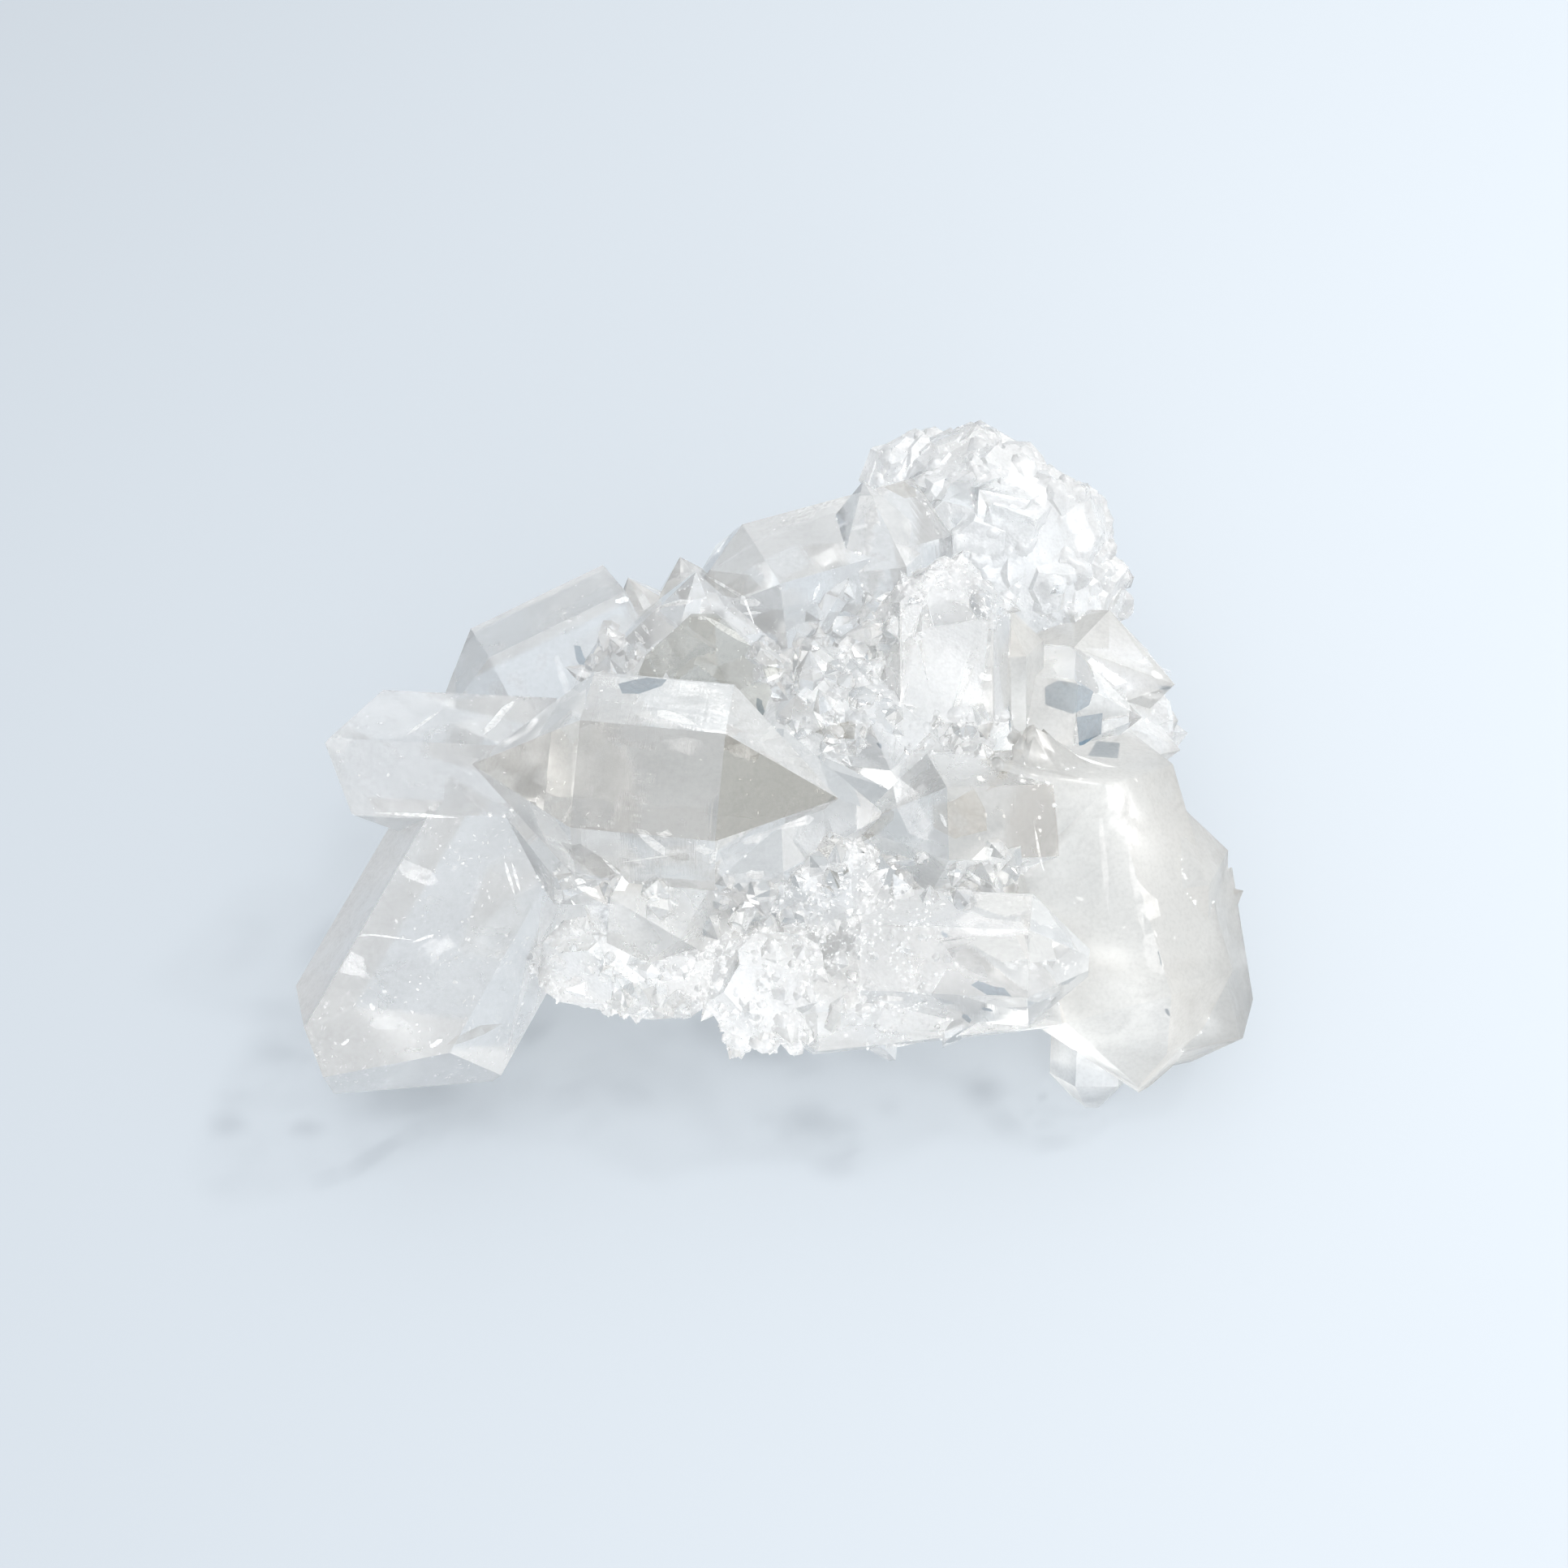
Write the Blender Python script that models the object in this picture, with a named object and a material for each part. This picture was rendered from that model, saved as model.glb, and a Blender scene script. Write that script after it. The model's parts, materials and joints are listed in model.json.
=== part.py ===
"""Clear quartz cluster: a handful of large points, a sugary crust and a broken base, grown as one piece."""

import math
import random

import bmesh
import bpy
from mathutils import Matrix, Vector

# Driving dimensions, in millimetres, in the cluster's own layout: +X right, +Y back, +Z up.
MM = 0.001
TIP_SLOPE = math.radians(51.8)  # from a crystal's long axis to the normal of its tip faces
FRONT = Vector((0, -0.57, 0.82))  # the way the widest side faces look
STOCK = 130  # side of the block that each crystal is cut from
CLUSTER_BOTTOM = 0  # the flat broken base
TRIM_DEPTH = 40
GOLDEN_TURN = math.radians(137.5)

# Each large crystal runs from root to tip. Girth is the distance from its axis to a side face, and
# turn rolls it about that axis. A facet is an extra cut: its outward direction, and how far its
# plane lies inside the tip. Narrowed scales the girth of each side face, starting at the front one.
CRYSTALS = {
    "left_point": dict(
        tip=(-52, -4, 28), root=(-26, -4, 26), girth=7.4, turn=-12, pointed=False,
        facets=[((-0.75, 0.53, 0.4), 0), ((-0.94, -0.29, -0.15), 2.2), ((-0.58, -0.57, -0.58), -1)],
    ),
    "back_left": dict(tip=(-42, 3.4, 21), root=(-17, 16, 25), girth=8.6),
    "centre": dict(tip=(-33.4, -11.2, 37.7), root=(5.8, -14.7, 36.3), girth=9.6, double=True),
    "centre_step": dict(tip=(11, -13.5, 31.5), root=(-14, -13, 29.5), girth=8.4, turn=6),
    "low_left": dict(
        tip=(-47, -38, 11), root=(-29, -5, 22), girth=10.8, turn=4, pointed=False,
        narrowed=(0.8, 1, 1, 1, 1, 1),
        facets=[((-0.92, -0.39, -0.1), -1.5), ((-0.11, -0.55, -0.83), 2.6), ((0.2, -0.93, -0.1), 0)],
    ),
    "peak": dict(tip=(-9.5, 7, 48), root=(-10.7, -1, 20), girth=8.4, turn=7, front=(0, -1, 0)),
    "peak_front": dict(
        tip=(-8.6, 0.9, 49.8), root=(-8.6, -6, 21), girth=7.6, front=(0, -1, 0),
        facets=[((-0.05, -0.66, 0.75), 3.7)],
    ),
    "peak_left": dict(tip=(-19.5, 6, 40), root=(-16, -2, 22), girth=5.2, turn=20),
    "notch": dict(tip=(-12, 19.4, 36), root=(-8, 13, 18), girth=5.2, turn=10),
    "notch_small": dict(tip=(-18.1, 18.4, 33.5), root=(-12, 11, 18), girth=4.6, turn=35),
    "back_slope": dict(tip=(-13, 9, 36), root=(16, 23.5, 31.5), girth=8.3, turn=32),
    "back_upright": dict(tip=(9, 23, 45), root=(11, 13, 24), girth=6.5),
    "mid_upright": dict(
        tip=(17.7, 14.4, 45.9), root=(17.8, -2, 33), girth=6.8, narrowed=(0.5, 0.9, 1, 1, 1, 0.9),
        facets=[((-0.45, 0.73, 0.51), 2.7), ((0.5, 0.73, 0.51), 2.4)],
    ),
    "mid_upright_low": dict(tip=(8, -3, 39.5), root=(14, -3, 26), girth=5.4, turn=8),
    "mid_shard": dict(tip=(2.5, 3.5, 41), root=(7, -1, 24), girth=4.2, turn=25),
    "post": dict(tip=(24, 10, 40), root=(25, 0, 22), girth=4.3),
    "post_low": dict(tip=(20.5, 2, 37), root=(24, -3, 22), girth=3.6, turn=16),
    "window": dict(
        tip=(41, 3, 27), root=(25, 5, 26), girth=7, turn=3, narrowed=(0.85, 0.9, 1, 1, 1, 0.9),
    ),
    "right_top": dict(tip=(45, 7, 28), root=(33, 14, 20), girth=7.2, turn=8),
    "right_top_low": dict(tip=(46, 2, 22), root=(34, 7, 18), girth=5.5),
    "right_big": dict(
        tip=(42.5, -36, 6), root=(31, -2, 28), girth=10.2, turn=16,
        facets=[((0.27, -0.81, -0.52), 2), ((0.6, -0.75, -0.1), 3), ((0.1, 0.55, 0.83), -36.5)],
    ),
    "right_block": dict(tip=(27.5, -5, 36), root=(33, -16, 10), girth=7.5, front=(0, -1, 0)),
    "right_shoulder": dict(tip=(40, -6, 29.3), root=(41.5, -20, 8), girth=8.6, turn=10, front=(0, -1, 0)),
    "right_edge": dict(
        tip=(47.5, -31, 4), root=(44, -12, 16.5), girth=6.4, pointed=False,
        facets=[((0.2, -0.9, -0.3), 2.5), ((0.8, -0.4, -0.4), 0)],
    ),
    "right_knob": dict(tip=(52.5, -13.5, 16), root=(44, -15, 10), girth=3, turn=20),
    "foot": dict(tip=(35.5, -33, -2), root=(35.5, -20, 13), girth=4.2),
    "bridge": dict(tip=(7.5, -14, 30), root=(28, -10.5, 26), girth=6.8),
    "low_mid": dict(tip=(-20, -27.5, 17), root=(-9.5, -12, 26), girth=7.5),
    "sliver": dict(tip=(-19, -23, 28), root=(-29, -8, 26), girth=3.8),
    "low_clear": dict(
        tip=(34.5, -27.8, 24), root=(9, -25, 21.5), girth=6.2, facets=[((1, -0.15, 0.1), 1.6)],
    ),
    "hanging_left": dict(
        tip=(10.3, -34.4, 15.3), root=(11, -28.5, 17.5), girth=1.7, turn=12, pointed=False,
        facets=[((-0.5, -0.85, -0.2), 0.5)],
    ),
    "hanging_right": dict(
        tip=(19.3, -33.2, 16.4), root=(18.7, -28, 19), girth=1.9, turn=25, pointed=False,
        facets=[((0.5, -0.85, -0.2), 0.6)],
    ),
    "low_rail": dict(tip=(38, -25.5, 16), root=(-2, -31.5, 17.8), girth=4, turn=20, double=True),
    "behind_left": dict(tip=(-28, 27, 8), root=(-6, 10, 15), girth=7, turn=20),
    "behind_low": dict(tip=(-8, 39, 10), root=(4, 12, 12), girth=6.5, turn=10),
    "behind_mid": dict(tip=(12, 47, 14), root=(10, 18, 14), girth=7.2, turn=5),
    "behind_right": dict(tip=(40, 38, 9), root=(18, 18, 14), girth=6.5),
    "side_right": dict(tip=(50, 14, 9), root=(22, 6, 13), girth=6, turn=12),
    "under_left": dict(tip=(-38, -16, 4), root=(-10, -2, 14), girth=6.2, turn=18),
}

# Each lump is a broken, faceted mass: centre, half-sizes and number of faces.
LUMPS = {
    "top_mass": dict(centre=(24.5, 28.5, 24), reach=(16, 12.5, 16.5), faces=32),
    "top_left_mass": dict(centre=(17.2, 37, 26), reach=(7.4, 8.2, 9.2), faces=24),
    "top_right_mass": dict(centre=(32.6, 25, 21), reach=(8.4, 8.6, 12.2), faces=24),
    "right_mass": dict(centre=(36, 9, 17), reach=(10, 10, 12), faces=24),
    "column_clump": dict(centre=(17.5, 7.5, 33), reach=(6.2, 5.5, 9.5), faces=22),
    "upper_clump": dict(centre=(6.5, -0.5, 33), reach=(6.5, 5.5, 5.5), faces=20),
    "front_clump": dict(centre=(-2, -28, 19), reach=(6.5, 6.5, 6), faces=20),
    "mid_clump": dict(centre=(4.5, -19, 27), reach=(6, 5, 6), faces=20),
    "low_clump": dict(centre=(12, -24, 20), reach=(9, 6, 6), faces=20),
    "left_crust": dict(centre=(-16, -24, 18), reach=(12, 6, 4.5), faces=22),
    "ledge": dict(centre=(15, -21, 14), reach=(19, 10, 4), faces=24),
    "inner_right": dict(centre=(30.5, 9, 20.5), reach=(8, 12.5, 4.5), faces=14),
    "inner_column": dict(centre=(19.5, 2.5, 26.5), reach=(4, 3.5, 4.5), faces=14),
    "core": dict(centre=(4, 4, 14), reach=(30, 26, 17), faces=34),
}

# Small points on the lumps: how many, over which lump, towards which side, and their girth range.
DRUZE = [
    dict(lump="top_mass", toward=(0.3, 0.1, 1), spread=1.6, count=14, girth=(0.9, 1.7)),
    dict(lump="column_clump", toward=(0, -0.8, 0.5), spread=1.2, count=12, girth=(0.8, 1.7)),
    dict(lump="upper_clump", toward=(0, -0.6, 0.8), spread=1.2, count=14, girth=(0.8, 1.7)),
    dict(lump="front_clump", toward=(0, -0.9, 0.4), spread=1.5, count=22, girth=(0.9, 1.6)),
    dict(lump="mid_clump", toward=(0, -0.5, 0.8), spread=1.4, count=16, girth=(0.8, 1.6)),
    dict(lump="low_clump", toward=(0, -0.7, 0.6), spread=1.3, count=18, girth=(0.8, 1.6)),
    dict(lump="left_crust", toward=(-0.1, -0.9, 0.2), spread=1.2, count=20, girth=(0.8, 1.5)),
]

# Low rounded knobs on the lumps that the crust has smoothed over: their size is a radius.
KNOBS = [
    dict(lump="top_mass", toward=(0.2, 0, 1), spread=1.6, count=42, size=(1.8, 4.2)),
    dict(lump="top_left_mass", toward=(-0.1, 0.1, 1), spread=1.3, count=16, size=(1.6, 3.2)),
    dict(lump="top_right_mass", toward=(0.8, 0, 0.7), spread=1.3, count=18, size=(1.6, 3.4)),
    dict(lump="right_mass", toward=(1, 0, 0.5), spread=1.2, count=14, size=(1.4, 2.8)),
]


def clear_scene():
    for item in list(bpy.data.objects):
        bpy.data.objects.remove(item)


def quartz_material():
    """Faintly grey, see-through quartz."""
    material = bpy.data.materials.new("clear_quartz")
    material.use_nodes = True
    shader = material.node_tree.nodes["Principled BSDF"]
    shader.inputs["Base Color"].default_value = (0.86, 0.87, 0.86, 1)
    shader.inputs["Roughness"].default_value = 0.06
    shader.inputs["Metallic"].default_value = 0
    shader.inputs["IOR"].default_value = 1.544
    shader.inputs["Transmission Weight"].default_value = 0.9
    return material


def crystal_axes(tip, root, front, turn):
    """The long axis, the front side face's direction and the one square to both."""
    along = (tip - root).normalized()
    ahead = (front - along * front.dot(along)).normalized()
    ahead = Matrix.Rotation(math.radians(turn), 3, along) @ ahead
    return along, ahead, along.cross(ahead)


def crystal_planes(tip, root, girth, turn=0, front=FRONT, pointed=True, double=False,
                   narrowed=(1, 1, 1, 1, 1, 1), facets=()):
    """Point and outward normal of every face of one crystal."""
    tip, root = Vector(tip), Vector(root)
    along, ahead, across = crystal_axes(tip, root, Vector(front), turn)
    planes = []
    for side, share in enumerate(narrowed):
        angle = math.radians(60 * side)
        outward = math.cos(angle) * ahead + math.sin(angle) * across
        planes.append((tip + outward * girth * share, outward))
        lean = math.sin(TIP_SLOPE) * outward
        if pointed:
            planes.append((tip, lean + math.cos(TIP_SLOPE) * along))
        if double:
            planes.append((root, lean - math.cos(TIP_SLOPE) * along))
    if not double:
        planes.append((root, -along))
    for direction, inside in facets:
        outward = Vector(direction).normalized()
        planes.append((tip - outward * inside, outward))
    return planes


def lump_planes(name, centre, reach, faces):
    """Flat faces scattered evenly round an egg, each a little nearer or further."""
    chance = random.Random(name)
    planes = []
    for step in range(faces):
        height = 1 - (2 * step + 1) / faces
        ring = math.sqrt(1 - height * height)
        angle = GOLDEN_TURN * step + chance.uniform(-0.35, 0.35)
        outward = Vector((ring * math.cos(angle), ring * math.sin(angle), height))
        outward += Vector([chance.gauss(0, 0.12) for _ in range(3)])
        outward.normalize()
        away = math.sqrt(sum((side * half) ** 2 for side, half in zip(outward, reach)))
        planes.append((Vector(centre) + outward * away * chance.uniform(0.88, 1), outward))
    return planes


def cut_from_block(planes):
    """A bmesh of the convex solid inside all the planes."""
    solid = bmesh.new()
    bmesh.ops.create_cube(solid, size=STOCK, matrix=Matrix.Translation(planes[0][0]))
    for point, outward in planes:
        everything = solid.verts[:] + solid.edges[:] + solid.faces[:]
        cut = bmesh.ops.bisect_plane(
            solid, geom=everything, plane_co=point, plane_no=outward, clear_outer=True
        )
        rim = [item for item in cut["geom_cut"] if isinstance(item, bmesh.types.BMEdge)]
        if rim:
            bmesh.ops.contextual_create(solid, geom=rim)
    return solid


def lump_surface(planes, centre, direction):
    """Where a ray from the lump's centre leaves it."""
    reaches = []
    for point, outward in planes:
        closing = outward.dot(direction)
        if closing > 0:
            reaches.append((point - centre).dot(outward) / closing)
    return centre + direction * min(reaches)


def scattered_feet(zone, chance):
    """Places over one side of a lump, each with the direction out of the lump's centre."""
    lump = LUMPS[zone["lump"]]
    shell = lump_planes(zone["lump"], **lump)
    centre = Vector(lump["centre"])
    toward = Vector(zone["toward"]).normalized()
    for _ in range(zone["count"]):
        scatter = Vector([chance.gauss(0, 0.5) for _ in range(3)]) * zone["spread"]
        outward = (toward + scatter).normalized()
        yield lump_surface(shell, centre, outward), outward


def druze_planes(zone):
    """Faces of every small point over one side of a lump."""
    chance = random.Random(zone["lump"] + " points")
    for foot, outward in scattered_feet(zone, chance):
        lean = (outward + Vector([chance.gauss(0, 0.25) for _ in range(3)])).normalized()
        girth = chance.uniform(*zone["girth"])
        tip = foot + lean * girth * chance.uniform(0.6, 1.5)
        yield crystal_planes(tip, foot - lean * girth * 1.5, girth, turn=chance.uniform(0, 60))


def knob_planes(zone):
    """Faces of every low knob over one side of a lump."""
    chance = random.Random(zone["lump"] + " knobs")
    for index, (foot, outward) in enumerate(scattered_feet(zone, chance)):
        size = chance.uniform(*zone["size"])
        middle = foot - outward * size * chance.uniform(0.65, 0.92)
        faces = chance.choice((12, 14, 16))
        yield lump_planes(f"{zone['lump']} knob {index}", middle, (size, size, size), faces)


def helper_object(name, planes, collection):
    """A hidden solid that is fused into the cluster."""
    solid = cut_from_block(planes)
    bmesh.ops.scale(solid, vec=(MM, MM, MM), verts=solid.verts[:])
    bmesh.ops.recalc_face_normals(solid, faces=solid.faces[:])
    if solid.calc_volume(signed=True) < 0:
        bmesh.ops.reverse_faces(solid, faces=solid.faces[:])
    mesh = bpy.data.meshes.new(name)
    solid.to_mesh(mesh)
    solid.free()
    helper = bpy.data.objects.new(name, mesh)
    helper.hide_render = True
    helper.display_type = "WIRE"
    collection.objects.link(helper)
    return helper


def grown_together(name, core, others):
    """One closed solid: the core with every other solid fused into it, and flat below."""
    cluster = bpy.data.objects.new(name, core.data.copy())
    bpy.context.scene.collection.objects.link(cluster)
    fuse = cluster.modifiers.new("grown together", "BOOLEAN")
    fuse.operation = "UNION"
    fuse.operand_type = "COLLECTION"
    fuse.collection = others
    fuse.solver = "MANIFOLD"
    return cluster


def broken_base(cluster, collection):
    """The flat break that the cluster rests on."""
    block = bmesh.new()
    low = Vector((0, 0, CLUSTER_BOTTOM - TRIM_DEPTH / 2))
    bmesh.ops.create_cube(block, size=1, matrix=Matrix.Translation(low * MM))
    size = Vector((STOCK * 2, STOCK * 2, TRIM_DEPTH)) * MM
    bmesh.ops.scale(block, vec=size, verts=block.verts[:], space=Matrix.Translation(-low * MM))
    mesh = bpy.data.meshes.new("base_cutter")
    block.to_mesh(mesh)
    block.free()
    cutter = bpy.data.objects.new("base_cutter", mesh)
    cutter.hide_render = True
    cutter.display_type = "WIRE"
    collection.objects.link(cutter)
    trim = cluster.modifiers.new("broken base", "BOOLEAN")
    trim.operation = "DIFFERENCE"
    trim.object = cutter
    trim.solver = "MANIFOLD"


def middle_of(helpers):
    """Middle of the layout's extent along X and Y, in metres."""
    points = [vertex.co for helper in helpers for vertex in helper.data.vertices]
    spans = [(min(co[axis] for co in points), max(co[axis] for co in points)) for axis in (0, 1)]
    return Vector((sum(spans[0]) / 2, sum(spans[1]) / 2, 0))


def build():
    clear_scene()
    grown = bpy.data.collections.new("grown_parts")
    tools = bpy.data.collections.new("cutters")
    for collection in (grown, tools):
        bpy.context.scene.collection.children.link(collection)
    helpers = []
    for name, shape in CRYSTALS.items():
        helpers.append(helper_object(name, crystal_planes(**shape), grown))
    for name, shape in LUMPS.items():
        target = tools if name == "core" else grown
        helpers.append(helper_object(name, lump_planes(name, **shape), target))
    for zone in DRUZE:
        for index, planes in enumerate(druze_planes(zone)):
            helpers.append(helper_object(f"{zone['lump']}_point_{index}", planes, grown))
    for zone in KNOBS:
        for index, planes in enumerate(knob_planes(zone)):
            helpers.append(helper_object(f"{zone['lump']}_knob_{index}", planes, grown))
    middle = middle_of(helpers)
    for helper in helpers:
        helper.data.transform(Matrix.Translation(-middle))
    cluster = grown_together("quartz_cluster", bpy.data.objects["core"], grown)
    broken_base(cluster, tools)
    cluster.data.materials.append(quartz_material())


build()
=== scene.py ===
import json
import math
import random

import bmesh
import bpy
from mathutils import Matrix, Vector, noise
from mathutils.bvhtree import BVHTree

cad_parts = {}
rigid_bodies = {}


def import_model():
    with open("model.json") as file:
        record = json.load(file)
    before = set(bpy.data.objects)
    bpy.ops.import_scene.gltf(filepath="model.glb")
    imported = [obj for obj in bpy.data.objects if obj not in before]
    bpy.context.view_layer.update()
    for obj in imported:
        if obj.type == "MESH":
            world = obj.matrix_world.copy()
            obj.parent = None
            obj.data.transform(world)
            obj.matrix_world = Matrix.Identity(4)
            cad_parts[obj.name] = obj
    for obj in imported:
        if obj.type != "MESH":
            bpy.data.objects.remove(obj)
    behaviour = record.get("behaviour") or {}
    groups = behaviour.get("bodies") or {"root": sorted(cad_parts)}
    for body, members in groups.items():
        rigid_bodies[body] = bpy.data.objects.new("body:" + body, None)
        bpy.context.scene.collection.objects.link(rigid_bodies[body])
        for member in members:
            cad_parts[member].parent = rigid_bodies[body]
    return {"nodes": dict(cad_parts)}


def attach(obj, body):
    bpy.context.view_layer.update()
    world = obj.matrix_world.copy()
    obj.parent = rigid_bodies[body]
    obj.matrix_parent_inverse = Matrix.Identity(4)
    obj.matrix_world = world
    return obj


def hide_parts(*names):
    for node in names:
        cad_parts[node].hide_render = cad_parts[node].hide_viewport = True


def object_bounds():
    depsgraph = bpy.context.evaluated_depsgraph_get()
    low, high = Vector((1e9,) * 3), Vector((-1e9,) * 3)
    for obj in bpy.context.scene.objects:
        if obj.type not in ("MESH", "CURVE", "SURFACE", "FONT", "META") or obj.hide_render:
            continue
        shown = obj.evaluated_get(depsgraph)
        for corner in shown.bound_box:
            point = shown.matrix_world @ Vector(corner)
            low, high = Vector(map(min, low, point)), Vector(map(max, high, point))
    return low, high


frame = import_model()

cad_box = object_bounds()

MM = 0.001
# The crystals' layout has its own middle: this takes a place in it, in millimetres, to the frame.
LAYOUT_MIDDLE = Vector((-0.33, 3.81, 0))

# Camera: a 52 mm lens on a 36 mm sensor, looking down at the table.
CAMERA_TARGET = Vector((0, 0, 18))
CAMERA_DISTANCE = 265
CAMERA_RISE = math.radians(55)
LENS, SENSOR = 52, 36

TIP_COSINE = math.cos(math.radians(51.8))  # between a crystal's axis and its tip faces' normals
SNUG = 0.05 * MM  # how near a face's plane lies to its crystal's own
FLAT_ANGLE = math.radians(0.4)  # faces that meet at less are one flat face
RIDGE_ANGLE = math.radians(14)
RIDGE_LENGTH = 1.6 * MM
RIDGE_WIDTH = 0.09 * MM
CRISP_ANGLE = math.radians(34)  # a frosted ridge that is sharper than this shows
SMALL_FACE = 1.1 * MM * MM
CLEAR_FACE = 0.35 * MM * MM
TOP_MASS = ((27, 28, 26), (20, 18, 20))  # where the sugar's faces are shaded smooth
FLAKE_THICKNESS = 0.04 * MM
BATCH = 200

# Each finish: how frosted a face is, the colour that it gives the light passing through, and how
# strong the growth lines are.
FINISHES = {
    "clear": (0.03, (0.925, 0.93, 0.925), 0.4),
    "hazy": (0.20, (0.855, 0.87, 0.88), 0.3),
    # The next finish is the hazy one in a darker grey.
    "greyer_hazy": (0.20, (0.785, 0.80, 0.81), 0.3),
    "cream": (0.47, (0.845, 0.836, 0.81), 0.04),
    "milky": (0.5, (0.97, 0.965, 0.95), 0.04),
    "bluish": (0.12, (0.865, 0.885, 0.90), 0.3),
    "pale": (0.28, (0.93, 0.935, 0.93), 0.15),
    "glassy": (0.08, (0.95, 0.96, 0.965), 0.2),
    "sugar": (0.5, (0.998, 0.999, 1.0), 0),
}
# The bevelled ridges' whiter tone and light frost paint a highlight along the edges.
RIDGE_HIGHLIGHT_TONE = (0.995, 0.995, 0.995, 0.12)

# The large crystals as they lie in the solid: tip, root, girth and finish.
CRYSTALS = {
    "left_point": ((-52, -4, 28), (-26, -4, 26), 7.4, "greyer_hazy"),
    "back_left": ((-42, 3.4, 21), (-17, 16, 25), 8.6, "hazy"),
    "centre": ((-33.4, -11.2, 37.7), (5.8, -14.7, 36.3), 9.6, "clear"),
    "centre_step": ((11, -13.5, 31.5), (-14, -13, 29.5), 8.4, "glassy"),
    "low_left": ((-47, -38, 11), (-29, -5, 22), 10.8, "hazy"),
    "peak": ((-9.5, 7, 48), (-10.7, -1, 20), 8.4, "glassy"),
    "peak_front": ((-8.6, 0.9, 49.8), (-8.6, -6, 21), 7.6, "clear"),
    "peak_left": ((-19.5, 6, 40), (-16, -2, 22), 5.2, "glassy"),
    "notch": ((-12, 19.4, 36), (-8, 13, 18), 5.2, "clear"),
    "notch_small": ((-18.1, 18.4, 33.5), (-12, 11, 18), 4.6, "clear"),
    "back_slope": ((-13, 9, 36), (16, 23.5, 31.5), 8.3, "bluish"),
    "back_upright": ((9, 23, 45), (11, 13, 24), 6.5, "bluish"),
    "mid_upright": ((17.7, 14.4, 45.9), (17.8, -2, 33), 6.8, "clear"),
    "mid_upright_low": ((8, -3, 39.5), (14, -3, 26), 5.4, "glassy"),
    "mid_shard": ((2.5, 3.5, 41), (7, -1, 24), 4.2, "clear"),
    "post": ((24, 10, 40), (25, 0, 22), 4.3, "cream"),
    "post_low": ((20.5, 2, 37), (24, -3, 22), 3.6, "clear"),
    "window": ((41, 3, 27), (25, 5, 26), 7, "clear"),
    "right_top": ((45, 7, 28), (33, 14, 20), 7.2, "cream"),
    "right_top_low": ((46, 2, 22), (34, 7, 18), 5.5, "cream"),
    "right_big": ((42.5, -36, 6), (31, -2, 28), 10.2, "cream"),
    "right_block": ((27.5, -5, 36), (33, -16, 10), 7.5, "cream"),
    "right_shoulder": ((40, -6, 29.3), (41.5, -20, 8), 8.6, "cream"),
    "right_edge": ((47.5, -31, 4), (44, -12, 16.5), 6.4, "cream"),
    "foot": ((35.5, -33, -2), (35.5, -20, 13), 4.2, "milky"),
    "bridge": ((7.5, -14, 30), (28, -10.5, 26), 6.8, "pale"),
    "low_mid": ((-20, -27.5, 17), (-9.5, -12, 26), 7.5, "pale"),
    "sliver": ((-19, -23, 28), (-29, -8, 26), 3.8, "clear"),
    "low_clear": ((34.5, -27.8, 24), (9, -25, 21.5), 6.2, "glassy"),
    "hanging_left": ((10.3, -34.4, 15.3), (11, -28.5, 17.5), 1.7, "glassy"),
    "hanging_right": ((19.3, -33.2, 16.4), (18.7, -28, 19), 1.9, "glassy"),
    "low_rail": ((38, -25.5, 16), (-2, -31.5, 17.8), 4, "pale"),
}

# Single faces with a look of their own: crystal, the way the face looks, its colour and frost.
# Their colours are painted light and shade: the kites, centre front, hexagon, pane, bridge front
# and step are tinted to the darker, warmer or bluer tones that shade and darker surroundings give
# these faces, and the low left side is painted white to lift its shade.
FACES_WITH_PAINTED_LIGHT = {
    "left kite": ("centre", (-0.63, -0.39, 0.67), (0.93, 0.91, 0.865), 0.03),
    "right kite": ("centre", (0.6, -0.5, 0.62), (0.455, 0.44, 0.40), 0.03),
    "centre front": ("centre", (-0.02, -0.57, 0.82), (0.55, 0.545, 0.53), 0.03),
    "hexagon": ("peak_front", (-0.05, -0.66, 0.75), (0.535, 0.54, 0.51), 0.03),
    "pane": ("window", (0.05, -0.57, 0.82), (0.63, 0.71, 0.76), 0.03),
    "bridge front": ("bridge", (0.1, -0.57, 0.82), (0.77, 0.75, 0.715), 0.2),
    "step": ("centre_step", (0, -0.95, 0.2), (0.84, 0.85, 0.86), 0.08),
    "low left side": ("low_left", (-0.74, 0.19, 0.65), (1, 1, 1), 0.6),
}
SAME_WAY = 0.985
# Crystals that are worn round: their faces run smoothly into each other.
ROUNDED = ("right_big", "right_block", "right_shoulder", "right_edge", "right_knob")

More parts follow.
